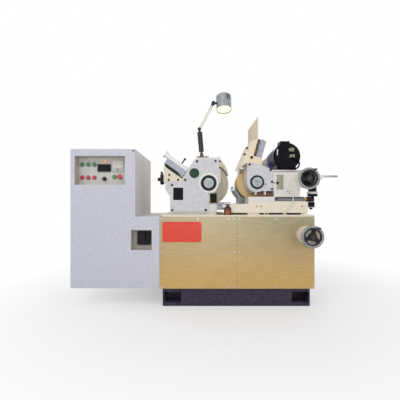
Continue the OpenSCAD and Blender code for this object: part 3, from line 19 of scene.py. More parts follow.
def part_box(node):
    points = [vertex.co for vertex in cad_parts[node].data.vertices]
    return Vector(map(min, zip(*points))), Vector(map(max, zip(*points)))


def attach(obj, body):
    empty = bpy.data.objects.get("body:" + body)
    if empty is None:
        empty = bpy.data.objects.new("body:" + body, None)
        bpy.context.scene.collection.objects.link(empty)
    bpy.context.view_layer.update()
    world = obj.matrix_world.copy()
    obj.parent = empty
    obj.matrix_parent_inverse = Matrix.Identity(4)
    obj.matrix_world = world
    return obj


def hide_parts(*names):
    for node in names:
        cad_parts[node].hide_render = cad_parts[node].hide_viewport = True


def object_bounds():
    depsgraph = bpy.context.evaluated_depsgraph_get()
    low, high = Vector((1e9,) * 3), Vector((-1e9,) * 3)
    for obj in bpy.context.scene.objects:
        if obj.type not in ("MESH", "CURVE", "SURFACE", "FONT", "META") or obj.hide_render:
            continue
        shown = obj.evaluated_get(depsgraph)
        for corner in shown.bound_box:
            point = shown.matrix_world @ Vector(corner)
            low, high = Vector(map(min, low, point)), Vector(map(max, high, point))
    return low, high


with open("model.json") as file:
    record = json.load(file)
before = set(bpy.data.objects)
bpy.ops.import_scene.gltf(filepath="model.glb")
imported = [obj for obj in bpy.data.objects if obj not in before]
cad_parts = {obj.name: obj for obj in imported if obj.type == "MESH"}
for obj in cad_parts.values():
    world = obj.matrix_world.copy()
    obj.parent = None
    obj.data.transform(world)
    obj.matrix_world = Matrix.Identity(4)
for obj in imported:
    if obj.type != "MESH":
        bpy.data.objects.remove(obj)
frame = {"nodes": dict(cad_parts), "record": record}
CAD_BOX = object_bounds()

LOG = logging.getLogger("grinder")
Span = tuple[float, float]
Point = tuple[float, float, float]
Test = Callable[[Vector, Vector], bool]
Zone = tuple["Finish", Test]
# Farther out than the machine, in millimetres
FAR = 9e3
# How deep trim is let into what carries it, in millimetres
SINK = 0.2
# Colour attribute that marks broken edges, whose lighter colour is part rubbed wear and part painted
# highlight
EDGE_WEAR_AND_HIGHLIGHT = "edge_wear_and_highlight"
# Edges that turn by more than this are broken, and those above the second angle are shaded sharp
BREAK_ANGLE, SHARP_ANGLE = math.radians(30.0), math.radians(32.0)


def mm(*values: float) -> Vector:
    """Turns three millimetre values into a point in metres."""
    return Vector(v / 1000.0 for v in values)


def about(at: Point, degrees: float, axis: str = "Y") -> Matrix:
    """Sets axes at a point in millimetres and turns them about one of their own.

    Args:
        at: The point.
        degrees: Angle of the turn.
        axis: Letter of the axis that they turn about.

    Returns:
        The axes' matrix.
    """
    return Matrix.Translation(mm(*at)) @ Matrix.Rotation(math.radians(degrees), 4, axis)


def linear(code: str) -> tuple[float, float, float, float]:
    """Turns an sRGB hex code into linear colour.

    Args:
        code: Six hex digits after a hash sign.

    Returns:
        Red, green, blue and an alpha of one.
    """
    parts = [int(code[i : i + 2], 16) / 255.0 for i in (1, 3, 5)]
    lin = [p / 12.92 if p <= 0.04045 else ((p + 0.055) / 1.055) ** 2.4 for p in parts]
    return (lin[0], lin[1], lin[2], 1.0)


def add_node(tree: bpy.types.NodeTree, kind: str, inputs: dict[Any, Any], **settings: Any) -> bpy.types.Node:
    """Adds one shader node with its settings, values and links.

    Args:
        tree: The material's node tree.
        kind: Blender's name of the node type, without its first words.
        inputs: Socket name or number to a value, or to the output socket that feeds it.
        **settings: Attributes set on the node itself.

    Returns:
        The new node.
    """
    node = tree.nodes.new("ShaderNode" + kind)
    for key, value in settings.items():
        setattr(node, key, value)
    for key, value in inputs.items():
        if isinstance(value, bpy.types.NodeSocket):
            tree.links.new(value, node.inputs[key])
        else:
            node.inputs[key].default_value = value
    return node


def mixed(tree: bpy.types.NodeTree, share: Any, one: Any, two: Any, **settings: Any) -> bpy.types.NodeSocket:
    """Lays a second colour over a first.

    Args:
        tree: The material's node tree.
        share: How much of the second colour shows.
        one: The first colour, or its socket.
        two: The second colour, or its socket.
        **settings: Attributes set on the node itself.

    Returns:
        The socket of the mixed colour.
    """
    node = add_node(tree, "Mix", {"Factor": share, 6: one, 7: two}, data_type="RGBA", **settings)
    return node.outputs[2]


class Surface(Enum):
    """How a surface was made, which picks the pattern that its material draws."""

    SPRAYED = "sprayed"
    CAST = "cast"
    BRUSHED = "brushed"
    TURNED = "turned"
    MOULDED = "moulded"
    GRIT = "grit"


@dataclass(frozen=True)
class Finish:
    """One real finish: what it is, how it was made and how it takes the light."""

    name: str
    base: str
    patch: str
    surface: Surface
    roughness: float
    grain_mm: float
    bump: float
    edge: str = ""
    metallic: float = 0.0
    vary: float = 0.25
    low: str = ""
    low_z: Span = (0.0, 1.0)
    coat: float = 0.0
    glow: float = 0.0
    across: Point = (1.0, 1.0, 1.0)
    spec: float = 0.5

    def material(self) -> bpy.types.Material:
        """Makes the finish's material once, and hands back the same one after that.

        Returns:
            The material.
        """
        found = bpy.data.materials.get(self.name)
        if found is not None:
            return found
        mat = bpy.data.materials.new(self.name)
        mat.use_nodes = True
        mat.node_tree.nodes.clear()
        self.wire(mat.node_tree)
        return mat

    def wire(self, tree: bpy.types.NodeTree) -> None:
        """Draws the finish: patches over centimetres, grain over millimetres, and lighter broken edges, part
        wear and part painted highlight.

        Args:
            tree: The empty node tree of the material.
        """
        place = add_node(tree, "TexCoord", {}).outputs["Object"]
        # Patches of handling and oil mist, about 9 cm across
        cloud = add_node(tree, "TexNoise", {"Vector": place, "Scale": 11.0, "Detail": 4.0, "Roughness": 0.55})
        mask = add_node(tree, "MapRange", {"Value": cloud.outputs["Fac"], "From Min": 0.35, "From Max": 0.75,
                                           "To Max": self.vary})
        colour = mixed(tree, mask.outputs["Result"], linear(self.base), linear(self.patch))
        if self.low:
            # Painted light: the colour shifts from the upper edge to the lower one, a painted reflection on
            # the stainless and painted shade in the coolant hood's mouth
            rise = add_node(tree, "SeparateXYZ", {0: place}).outputs["Z"]
            fall = add_node(tree, "MapRange", {"Value": rise, "From Min": self.low_z[1],
                                               "From Max": self.low_z[0]})
            colour = mixed(tree, fall.outputs["Result"], colour, linear(self.low))
        # Grain: its scale is one wave per grain_mm, drawn out along the brushing where there is one
        stretch = add_node(tree, "Mapping", {"Vector": place, "Scale": Vector(self.across)})
        grain = add_node(tree, "TexNoise", {
            "Vector": stretch.outputs["Vector"], "Scale": 1000.0 / self.grain_mm, "Detail": 3.0,
            "Roughness": 0.6}).outputs["Fac"]
        if self.surface in (Surface.GRIT, Surface.BRUSHED, Surface.TURNED):
            fleck = add_node(tree, "MapRange", {"Value": grain, "From Min": 0.35, "From Max": 0.65,
                                                "To Min": 0.86, "To Max": 1.08})
            colour = mixed(tree, 1.0, colour, fleck.outputs["Result"], blend_type="MULTIPLY")
        if self.edge:
            # Broken edges, part wear and part painted highlight: the bevels carry this attribute, broken up
            # by the grain of a rubbed edge
            wear_and_highlight = add_node(tree, "Attribute", {}, attribute_name=EDGE_WEAR_AND_HIGHLIGHT).outputs["Fac"]
            edge_breakup = add_node(tree, "TexNoise", {"Vector": place, "Scale": 60.0, "Detail": 3.0}).outputs["Fac"]
            both = add_node(tree, "Math", {0: wear_and_highlight, 1: edge_breakup}, operation="MULTIPLY").outputs[0]
            colour = mixed(tree, both, colour, linear(self.edge))
        shine = add_node(tree, "MapRange", {
            "Value": cloud.outputs["Fac"], "From Min": 0.3, "From Max": 0.7,
            "To Min": self.roughness * 0.88, "To Max": min(1.0, self.roughness * 1.15)})
        height = {Surface.CAST: 0.0012, Surface.GRIT: 0.0008}.get(self.surface, 0.0003)
        relief = add_node(tree, "Bump", {"Height": grain, "Strength": self.bump, "Distance": height})
        wants = {"Base Color": colour, "Roughness": shine.outputs["Result"], "Metallic": self.metallic,
                 "Normal": relief.outputs["Normal"], "Specular IOR Level": self.spec}
        if self.coat:
            wants |= {"Coat Weight": self.coat, "Coat Roughness": 0.12}
        if self.glow:
            wants |= {"Emission Color": linear(self.base), "Emission Strength": self.glow}
        shader = add_node(tree, "BsdfPrincipled", wants)
        add_node(tree, "OutputMaterial", {"Surface": shader.outputs[0]})


# Powder-coated sheet steel, cool white on the front: a faint orange peel and soft patches
SHEET_COOL = Finish("powder_coat_lavender", "#bfc1cc", "#b4b5c1", Surface.SPRAYED, 0.45, 1.6, 0.12, "#dfe0ea")
# The same coat on the cabinet's sides, as a second copy of painted light that reads lighter, warmer and
# greyer
SHEET_SIDE_LIT = Finish("powder_coat_side_painted_light", "#d7d6d4", "#cbc8c5", Surface.SPRAYED, 0.5, 1.6, 0.12, "#d9d7d3")
# Enamelled instrument plate
FASCIA = Finish("enamelled_fascia", "#c9c7c3", "#bbb8b0", Surface.SPRAYED, 0.4, 1.2, 0.05, "#e6e4de")
# Painted iron castings: filler and paint leave long shallow waves and a cream colour
CAST_CREAM = Finish("painted_casting_cream", "#efe3d0", "#e3d4bc", Surface.CAST, 0.42, 5.0, 0.16, "#f4ead9")
CAST_LIGHT = Finish("painted_casting_light", "#dfdcd6", "#d2ccc0", Surface.CAST, 0.42, 5.0, 0.16, "#efece6")
# Steel front plates under grey machine enamel
PLATE_GREY = Finish("machine_enamel_grey", "#bfc0c6", "#b3b2b0", Surface.SPRAYED, 0.38, 2.2, 0.08, "#e3e3e4")
RING_WHITE = Finish("machine_enamel_white", "#e6e3dc", "#d8d3c8", Surface.SPRAYED, 0.38, 2.2, 0.06, "#f2f0ea")
# Brushed stainless: fine horizontal lines; olive above and gold below are a painted reflection, the gold
# where it mirrors the floor
STAINLESS = Finish("brushed_stainless_painted_reflection", "#aea486", "#c0b28b", Surface.BRUSHED, 0.34, 2.2, 0.25,
                   metallic=0.55, vary=0.6, low="#dcb572", low_z=(0.13, 0.56), across=(0.03, 1.0, 1.0))
# Dark violet enamel of the plinth
PLINTH = Finish("plinth_enamel_violet", "#15101f", "#211c2a", Surface.SPRAYED, 0.4, 2.5, 0.12, "#544c63",
                spec=0.25)
# Black oxide screws and bolts
BLACK_OXIDE = Finish("black_oxide", "#08080a", "#111113", Surface.TURNED, 0.42, 0.8, 0.1, "#5a5a5e",
                     metallic=0.3, spec=0.15)
# Semi-gloss black paint and mouldings
BLACK_PAINT = Finish("black_enamel", "#050506", "#0b0b0d", Surface.SPRAYED, 0.35, 2.0, 0.08, "#3f3f45",
                     spec=0.12)
BLACK_PLASTIC = Finish("black_moulding", "#070708", "#0d0d0f", Surface.MOULDED, 0.4, 0.9, 0.1, "#3a3b3f",
                       spec=0.14)
# Ground and turned steel
GROUND_STEEL = Finish("ground_steel", "#b3b7bd", "#9a9fa7", Surface.TURNED, 0.3, 1.2, 0.15, "#e2e4e8",
                      metallic=0.85, across=(1.0, 0.08, 1.0))
SLIDE_STEEL = Finish("scraped_slide_grey", "#8f939d", "#82868f", Surface.TURNED, 0.4, 2.0, 0.12, "#c9ccd4",
                     metallic=0.1, across=(1.0, 0.1, 1.0), spec=0.3)
SLAB_LIGHT = Finish("machined_slab_light", "#d3d4da", "#c4c5ca", Surface.TURNED, 0.4, 1.6, 0.08, "#ecedf0",
                    metallic=0.2)
CAP_STEEL = Finish("turned_cap_grey_green", "#50666a", "#465a5e", Surface.TURNED, 0.34, 1.0, 0.12, "#d6dcdc",
                   metallic=0.1, spec=0.25)
BRONZE = Finish("bearing_bronze", "#b08a4a", "#93713a", Surface.TURNED, 0.35, 1.0, 0.1, "#d9b878",
                metallic=0.9)
BRASS = Finish("turned_brass", "#b88f45", "#a07a36", Surface.TURNED, 0.3, 1.0, 0.08, "#e0c078", metallic=0.9)
# Vitrified abrasive, 60 grit drawn at 1.5 mm so that it shows
WHEEL_WHITE = Finish("vitrified_abrasive_cream", "#f0e8d2", "#e4dac0", Surface.GRIT, 0.92, 1.5, 0.7,
                     vary=0.35)
# Rubber-bonded abrasive of the regulating wheel, warm yellow
WHEEL_YELLOW = Finish("rubber_bond_abrasive", "#ffdf9c", "#ffedc4", Surface.GRIT, 0.75, 1.5, 0.45, vary=0.5)
GUARD_CREAM = Finish("guard_enamel_cream", "#dcd2b8", "#cfc3a4", Surface.SPRAYED, 0.4, 3.0, 0.1, "#f0e8d2")
GUARD_WARM = Finish("guard_enamel_warm", "#e9d5b3", "#dcc49c", Surface.SPRAYED, 0.4, 3.0, 0.1, "#f6ead2")
SPLASH = Finish("splash_sheet_enamel", "#f2cd9a", "#e4c496", Surface.SPRAYED, 0.42, 2.5, 0.06, "#f4e4c8")
DRUM_CREAM = Finish("drum_enamel_cream", "#e8dccb", "#dccbb2", Surface.SPRAYED, 0.36, 2.4, 0.06, "#f6efe2")
RIM_GREY = Finish("cast_rim_grey", "#6f7a78", "#616a69", Surface.TURNED, 0.34, 1.4, 0.1, "#b7bcba",
                  metallic=0.15, spec=0.3)
MOTOR_BLACK = Finish("motor_enamel_black", "#05050d", "#0b0b18", Surface.SPRAYED, 0.3, 2.0, 0.12, "#14141f",
                     spec=0.1)
GEAR_BLUE = Finish("gearbox_enamel_blue", "#1214a8", "#1c24c0", Surface.CAST, 0.32, 4.0, 0.15, "#2028b8",
                   spec=0.12)
MOTOR_GREY = Finish("motor_enamel_grey", "#121622", "#1a1f2c", Surface.SPRAYED, 0.4, 2.0, 0.1, "#3c4454",
                    spec=0.15)
LAMP_BROWN = Finish("lamp_lacquer_brown", "#2a1d15", "#3a2a1e", Surface.SPRAYED, 0.35, 2.0, 0.06, "#6b5138")
LAMP_BLACK = Finish("lamp_lacquer_black", "#100d0c", "#1a1715", Surface.SPRAYED, 0.35, 2.0, 0.06, "#4f4a46",
                    spec=0.2)
LAMP_ROD = Finish("lamp_rod_pale", "#bdb6aa", "#a8a094", Surface.TURNED, 0.34, 1.2, 0.06, "#dcd6cc",
                  metallic=0.5)
LAMP_HEAD = Finish("lamp_head_grey_blue", "#7d7e7c", "#6f706e", Surface.SPRAYED, 0.34, 1.8, 0.05, "#b4bcc4",
                   metallic=0.2)
LAMP_GLOW = Finish("lamp_glass_lit", "#fff1cf", "#ffe7b8", Surface.MOULDED, 0.4, 2.0, 0.02, glow=0.9)
RUBBER = Finish("belt_rubber", "#0a0a0b", "#121213", Surface.MOULDED, 0.7, 1.4, 0.25, spec=0.1)
SIGHT = Finish("sight_glass_green", "#07150f", "#0c2018", Surface.MOULDED, 0.3, 8.0, 0.02, "#2e5a48",
               coat=0.1, spec=0.12)
GREEN_CAP = Finish("green_button_cap", "#1f7038", "#1a5f2e", Surface.MOULDED, 0.3, 0.9, 0.03, "#63b478",
                   coat=0.3)
RED_CAP = Finish("red_button_cap", "#c42c22", "#ad211a", Surface.MOULDED, 0.3, 0.9, 0.03, "#dc5a66", coat=0.3)
RED_PLATE = Finish("red_plate_enamel", "#e8442f", "#dd3a28", Surface.SPRAYED, 0.35, 2.0, 0.04, "#f08a78")
DISPLAY = Finish("display_window", "#0d0f12", "#15181c", Surface.MOULDED, 0.08, 6.0, 0.01,
                 coat=0.15, spec=0.15)
DIAL_WHITE = Finish("dial_card", "#f0eee6", "#e4e1d6", Surface.MOULDED, 0.5, 1.0, 0.02)
DIAL_GREEN = Finish("scale_window_green", "#a3a68c", "#8f937c", Surface.SPRAYED, 0.35, 2.0, 0.04, coat=0.3)
LAMP_ORANGE = Finish("indicator_lit", "#ff8a2a", "#ffa64a", Surface.MOULDED, 0.3, 1.0, 0.02, glow=1.0)
# Brown with oil in the coolant hood's mouth, darkened towards its top as painted shade
BROWN_OIL_TOP_SHADE = Finish("oiled_brown_top_painted_shade", "#1b110c", "#2a1810", Surface.CAST, 0.5, 3.0, 0.2,
                   low="#b4622a", low_z=(0.602, 0.65))
# Rust-brown oil film on the ribs under the regulating head
RIB_BROWN = Finish("oil_film_brown", "#7d4a2c", "#5c3320", Surface.CAST, 0.5, 3.0, 0.2, "#a9714a", vary=0.7)
COOLANT_GREY = Finish("valve_grey", "#74777b", "#66686c", Surface.TURNED, 0.4, 1.6, 0.12, "#a0a3a8",
                      metallic=0.4)
# Inside of the recesses: the same coat, darker and warmer as painted shade
RECESS_SHADE = Finish("recess_coat_painted_shade", "#c2bdb0", "#aaa598", Surface.SPRAYED, 0.55, 1.6, 0.12, "#c6c2b8")
# Turned collars round the push buttons and cranks
COLLAR = Finish("collar_dark_grey", "#4b4d50", "#3c3e41", Surface.TURNED, 0.38, 0.8, 0.08, "#8a8c90",
                metallic=0.4)
METER_CASE = Finish("meter_case_grey", "#b9bbbd", "#a9abad", Surface.MOULDED, 0.4, 0.9, 0.05, "#dcdddd")
# Groove along the upper slide, darkened inside as painted shade
GROOVE_SHADE = Finish("groove_painted_shade", "#6b675c", "#4b4740", Surface.CAST, 0.5, 3.0, 0.2, vary=0.6)
# Pale cream enamel of the dresser's upper slab
SLAB_CREAM = Finish("slab_enamel_cream", "#e9e6e6", "#dedad8", Surface.SPRAYED, 0.4, 2.4, 0.06, "#f6f4f2")


class Axis(Enum):
    """Direction along which a round piece runs."""

    X = "X"
    Y = "Y"
    Z = "Z"

    def turn(self) -> Matrix:
        """Turns a piece made along Z so that it runs along this axis.

        Returns:
            The turn's matrix.
        """
        if self is Axis.X:
            return Matrix.Rotation(math.radians(90), 4, "Y")
        if self is Axis.Y:
            return Matrix.Rotation(math.radians(-90), 4, "X")
        return Matrix.Identity(4)


class Shape:
    """A piece while it is made. Its methods take every size and place in millimetres."""

    def __init__(self, node: str = "") -> None:
        """Starts empty, or from a CAD node's mesh with its triangles merged into flats.

        Args:
            node: The CAD node to copy, or nothing.
        """
        self.bm = bmesh.new()
        if node:
            self.bm.from_mesh(frame["nodes"][node].data)
            bmesh.ops.remove_doubles(self.bm, verts=self.bm.verts, dist=0.00002)
            bmesh.ops.dissolve_limit(self.bm, angle_limit=math.radians(0.7), verts=self.bm.verts,
                                     edges=self.bm.edges, use_dissolve_boundaries=False)

    def outward(self, verts: Sequence[bmesh.types.BMVert]) -> list[bmesh.types.BMFace]:
        """Turns the faces round some vertices outward.

        Args:
            verts: The vertices.

        Returns:
            The faces.
        """
        faces = list(dict.fromkeys(f for v in verts for f in v.link_faces))
        bmesh.ops.recalc_face_normals(self.bm, faces=faces)
        return faces

    def bevel(self, edges: Sequence[bmesh.types.BMEdge], width: float,
              steps: int = 2) -> list[bmesh.types.BMFace]:
        """Breaks some edges.

        Args:
            edges: The edges.
            width: Width of the bevels.
            steps: Faces across each bevel.

        Returns:
            The bevels' faces.
        """
        return bmesh.ops.bevel(self.bm, geom=edges, offset=width / 1000.0, offset_type="OFFSET",
                               affect="EDGES", segments=steps, profile=0.5, material=-1,
                               clamp_overlap=True)["faces"]

    def edged(self, width: float) -> "Shape":
        """Breaks every sharp edge, and marks the bevels for a lighter colour that is part wear and part
        painted highlight.

        Args:
            width: Width of the broken edges.

        Returns:
            The shape itself.
        """
        layers = self.bm.loops.layers.float_color
        layer = layers.get(EDGE_WEAR_AND_HIGHLIGHT) or layers.new(EDGE_WEAR_AND_HIGHLIGHT)
        edges = [e for e in self.bm.edges if e.is_manifold and e.calc_face_angle(0.0) > BREAK_ANGLE
                 and e.calc_length() > width / 1000.0]
        for face in self.bevel(edges, width) if edges else ():
            if face.is_valid:
                for loop in face.loops:
                    loop[layer] = (1.0, 1.0, 1.0, 1.0)
        return self

    def raised(self, outline: Sequence[Point], rise: Point) -> bmesh.types.BMFace:
        """Adds a flat outline drawn out into a closed solid.

        Args:
            outline: Its corners.
            rise: How far and which way it is drawn out.

        Returns:
            The face at the far end.
        """
        foot = self.bm.faces.new([self.bm.verts.new(mm(*p)) for p in outline])
        made = bmesh.ops.extrude_face_region(self.bm, geom=[foot])["geom"]
        moved = [g for g in made if isinstance(g, bmesh.types.BMVert)]
        bmesh.ops.translate(self.bm, vec=mm(*rise), verts=moved)
        return next(g for g in made if isinstance(g, bmesh.types.BMFace))

    def block(self, low: Point, high: Point, bevel: float = 0.0, turn: Optional[Matrix] = None) -> "Shape":
        """Adds a box.

        Args:
            low: Its lowest corner.
            high: Its highest corner.
            bevel: Width of its broken edges.
            turn: Matrix laid on the box last.

        Returns:
            The shape itself.
        """
        one, two = mm(*low), mm(*high)
        place = Matrix.Translation((one + two) / 2) @ Matrix.Diagonal((*(two - one), 1.0))
        verts = bmesh.ops.create_cube(self.bm, size=1.0, matrix=place)["verts"]
        if bevel:
            edges = list(dict.fromkeys(e for v in verts for e in v.link_edges))
            made = {v for f in self.bevel(edges, bevel) for v in f.verts}
            verts = list(made | {v for v in verts if v.is_valid})
        if turn is not None:
            bmesh.ops.transform(self.bm, matrix=turn, verts=verts)
        return self

    def lathe(self, at: Point, axis: Axis, profile: Sequence[Span], steps: int = 40,
              turn: Optional[Matrix] = None) -> "Shape":
        """Spins a profile into a closed round solid.

        Args:
            at: Foot of its axis.
            axis: The axis it runs along.
            profile: Radius and height pairs, from the axis round to the axis.
            steps: Faces round it.
            turn: Matrix laid on it last.

        Returns:
            The shape itself.
        """
        bm, before = self.bm, set(self.bm.verts)
        line = [bm.verts.new((r / 1000.0, 0.0, z / 1000.0)) for r, z in profile]
        edges = [bm.edges.new(pair) for pair in zip(line, line[1:])]
        bmesh.ops.spin(bm, geom=line + edges, cent=(0, 0, 0), axis=(0, 0, 1), angle=math.tau, steps=steps,
                       use_merge=True)
        bmesh.ops.remove_doubles(bm, verts=[v for v in bm.verts if v not in before], dist=0.000005)
        verts = [v for v in bm.verts if v not in before]
        self.outward(verts)
        place = Matrix.Translation(mm(*at)) @ axis.turn()
        bmesh.ops.transform(bm, matrix=(turn @ place) if turn is not None else place, verts=verts)
        return self

    def hoop(self, at: Point, radii: Span, rise: float, slopes: Span = (1.0, 1.0),
             steps: int = 48) -> "Shape":
        """Adds a low ring that rises towards the operator.

        Args:
            at: Middle of its foot.
            radii: Its inner and outer radius.
            rise: Its height.
            slopes: How far its inner and outer walls lean in.
            steps: Faces round it.

        Returns:
            The shape itself.
        """
        r, far = radii
        wall = ((r, SINK), (far, SINK), (far - slopes[1], -rise), (r + slopes[0], -rise), (r, SINK))
        return self.lathe(at, Axis.Y, wall, steps)

    def tube(self, points: Sequence[Point], radius: float, around: int = 12) -> "Shape":
        """Adds a closed round tube along a smooth line through some points.

        Args:
            points: The points.
            radius: Radius of the tube.
            around: Faces round it.

        Returns:
            The shape itself.
        """
        bm, path, line = self.bm, [mm(*p) for p in points], []
        ends = [path[0] * 2 - path[1]] + path + [path[-1] * 2 - path[-2]]
        for p0, p1, p2, p3 in zip(ends, ends[1:], ends[2:], ends[3:]):
            for t in (0.0, 0.25, 0.5, 0.75):
                line.append(0.5 * (2 * p1 + (p2 - p0) * t + (2 * p0 - 5 * p1 + 4 * p2 - p3) * t ** 2
                                   + (3 * p1 - p0 - 3 * p2 + p3) * t ** 3))
        line.append(path[-1])
        side = (line[1] - line[0]).orthogonal().normalized()
        rings = []
        for i, at in enumerate(line):
            way = (line[min(i + 1, len(line) - 1)] - line[max(i - 1, 0)]).normalized()
            side = (side - way * side.dot(way)).normalized()
            other = way.cross(side)
            rings.append([bm.verts.new(at + (side * math.cos(a) + other * math.sin(a)) * radius / 1000.0)
                          for a in (math.tau * k / around for k in range(around))])
        made = [bm.faces.new(rings[0]), bm.faces.new(rings[-1])]
        for one, two in zip(rings, rings[1:]):
            for k in range(around):
                made.append(bm.faces.new((one[k], one[(k + 1) % around], two[(k + 1) % around], two[k])))
        bmesh.ops.recalc_face_normals(bm, faces=made)
        return self

    def lobed(self, at: Point, radius: float, height: float, lobes: int = 5) -> "Shape":
        """Adds an upright lobed clamp knob with broken edges.

        Args:
            at: Middle of its foot.
            radius: Radius over its lobes.
            height: Its height.
            lobes: Number of lobes.

        Returns:
            The shape itself.
        """
        before, outline, steps = set(self.bm.verts), [], lobes * 10
        for i in range(steps):
            a = math.tau * i / steps
            r = radius * (0.87 + 0.13 * math.cos(lobes * a))
            outline.append((at[0] + r * math.cos(a), at[1] + r * math.sin(a), at[2]))
        self.raised(outline, (0, 0, height))
        fresh = [v for v in self.bm.verts if v not in before]
        ends = dict.fromkeys(f for v in fresh for f in v.link_faces if len(f.verts) > 8)
        self.bevel(list(dict.fromkeys(e for f in ends for e in f.edges)), 2.5)
        self.outward([v for v in self.bm.verts if v not in before])
        return self

    def cap_screw(self, at: Point, axis: Axis, radius: float, height: float,
                  turn: Optional[Matrix] = None, sign: float = 1.0) -> "Shape":
        """Adds a socket cap screw: a chamfered head with a recess.

        Args:
            at: Middle of the head's seat.
            axis: The axis that its head rises along.
            radius: Radius of the head.
            height: Height of the head.
            turn: Matrix laid on it last.
            sign: -1 where the head rises against the axis.

        Returns:
            The shape itself.
        """
        bm, before = self.bm, set(self.bm.verts)
        corners = [math.radians(90 + 20 * i) for i in range(18)]
        outline = [(radius * math.cos(a), radius * math.sin(a), 0.0) for a in corners]
        top = self.raised(outline, (0, 0, height))
        self.bevel(list(top.edges), radius * 0.14, 1)
        top = max((f for f in bm.faces if not any(v in before for v in f.verts)),
                  key=lambda f: (f.calc_center_median().z, f.calc_area()))
        bmesh.ops.inset_region(bm, faces=[top], thickness=radius * 0.00042, depth=0.0)
        bmesh.ops.translate(bm, vec=mm(0, 0, -height / 2), verts=list(top.verts))
        verts = [v for v in bm.verts if v not in before]
        faces = self.outward(verts)
        whole = Matrix.Translation(mm(*at)) @ axis.turn() @ Matrix.Diagonal((1, 1, sign, 1))
        if turn is not None:
            whole = turn @ whole
        bmesh.ops.transform(bm, matrix=whole, verts=verts)
        if whole.determinant() < 0:
            bmesh.ops.reverse_faces(bm, faces=faces)
        return self


@dataclass
class Group:
    """A sub-assembly, which turns shapes into finished pieces and keeps count of them."""

    made: list[str] = field(default_factory=list)

    def build(self) -> None:
        """Builds and dresses the sub-assembly's pieces."""
        raise NotImplementedError

    def piece(self, name: str, shape: Shape, finish: Finish, on: str, slot: str,
              replaces: Sequence[str] = (), zones: Sequence[Zone] = ()) -> None:
        """Makes an object from a shape, dresses it and rides it on its body.

        Args:
            name: The piece's name.
            shape: Its shape, where it belongs, which is used up.
            finish: The finish of faces that no zone claims.
            on: A CAD node of the body that it rides on.
            slot: The record's material slot; not used.
            replaces: CAD nodes that it stands for.
            zones: Other finishes, each with a test of a face's middle and normal.
        """
        bm, mesh = shape.bm, bpy.data.meshes.new(name)
        for face in bm.faces:
            face.smooth = True
            middle, normal = face.calc_center_median(), face.normal
            face.material_index = next((i for i, (_, test) in enumerate(zones, 1) if test(middle, normal)), 0)
        for edge in bm.edges:
            edge.smooth = edge.is_manifold and edge.calc_face_angle(math.pi) < SHARP_ANGLE
        bm.to_mesh(mesh)
        bm.free()
        for one in [finish] + [z[0] for z in zones]:
            mesh.materials.append(one.material())
        obj = bpy.data.objects.new(name, mesh)
        bpy.context.scene.collection.objects.link(obj)
        obj.modifiers.new("flat_faces", "WEIGHTED_NORMAL").keep_sharp = True
        body = body_of(on)
        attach(obj, body)
        if replaces:
            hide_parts(*replaces)
        self.made.append(name)

    def stand_in(self, node: str, shape: Shape, finish: Finish, zones: Sequence[Zone] = ()) -> None:
        """Makes a shape the dressed piece of a CAD node, which it hides; the node's slot is looked up but not
        used.
        """
        slot = next(s["material_slot"] for s in frame["record"]["subparts"] if s["node"] == node)
        self.piece(node + "_dressed", shape, finish, node, slot, [node], zones)

    def dress(self, **looks: tuple) -> None:
        """Dresses CAD nodes by copies of them with broken edges.

        Args:
            **looks: A node's name to its finish, the width of its broken edges, the zones of other finishes
                and the planes, by point and normal, that part two finishes on one flat.
        """
        for node, (finish, width, *more) in looks.items():
            shape = Shape(node)
            for point, normal in more[1] if len(more) > 1 else ():
                every = shape.bm.verts[:] + shape.bm.edges[:] + shape.bm.faces[:]
                bmesh.ops.bisect_plane(shape.bm, geom=every, plane_co=point, plane_no=normal)
            self.stand_in(node, shape.edged(width), finish, more[0] if more else ())


def body_of(node: str) -> str:
    """Name of the CAD body that holds a node."""
    bodies = frame["record"]["behaviour"]["bodies"]
    return next(body for body, nodes in bodies.items() if node in nodes)


def low(node: str) -> Vector:
    """Lowest corner of a CAD node's box in millimetres."""
    return Vector(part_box(node)[0]) * 1000.0


def high(node: str) -> Vector:
    """Highest corner of a CAD node's box in millimetres."""
    return Vector(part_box(node)[1]) * 1000.0


def inside(x: Span = (-FAR, FAR), y: Span = (-FAR, FAR), z: Span = (-FAR, FAR),
           axes: Optional[Matrix] = None) -> Test:
    """Test of a face's middle against a box.

    Args:
        x: Lowest and highest X in millimetres.
        y: Lowest and highest Y.
        z: Lowest and highest Z.
        axes: Matrix whose own axes the box is measured on, or None for the machine's.

    Returns:
        A zone's test.
    """
    back = axes.inverted() if axes is not None else Matrix.Identity(4)
    spans = [(s[0] / 1000.0, s[1] / 1000.0) for s in (x, y, z)]
    return lambda c, n: all(a <= v <= b for v, (a, b) in zip(back @ c, spans))


def ring(x: float, z: float, r: Span, y: Span = (-FAR, FAR)) -> Test:
    """Test of a face's middle against a band about an axis along Y, in millimetres."""
    return lambda c, n: (r[0] <= math.hypot(c.x * 1000 - x, c.z * 1000 - z) <= r[1]
                         and y[0] <= c.y * 1000 <= y[1])


def walls(test: Test) -> Test:
    """Keeps only the faces of a test that don't look along Y."""
    return lambda c, n: test(c, n) and abs(n.y) < 0.9


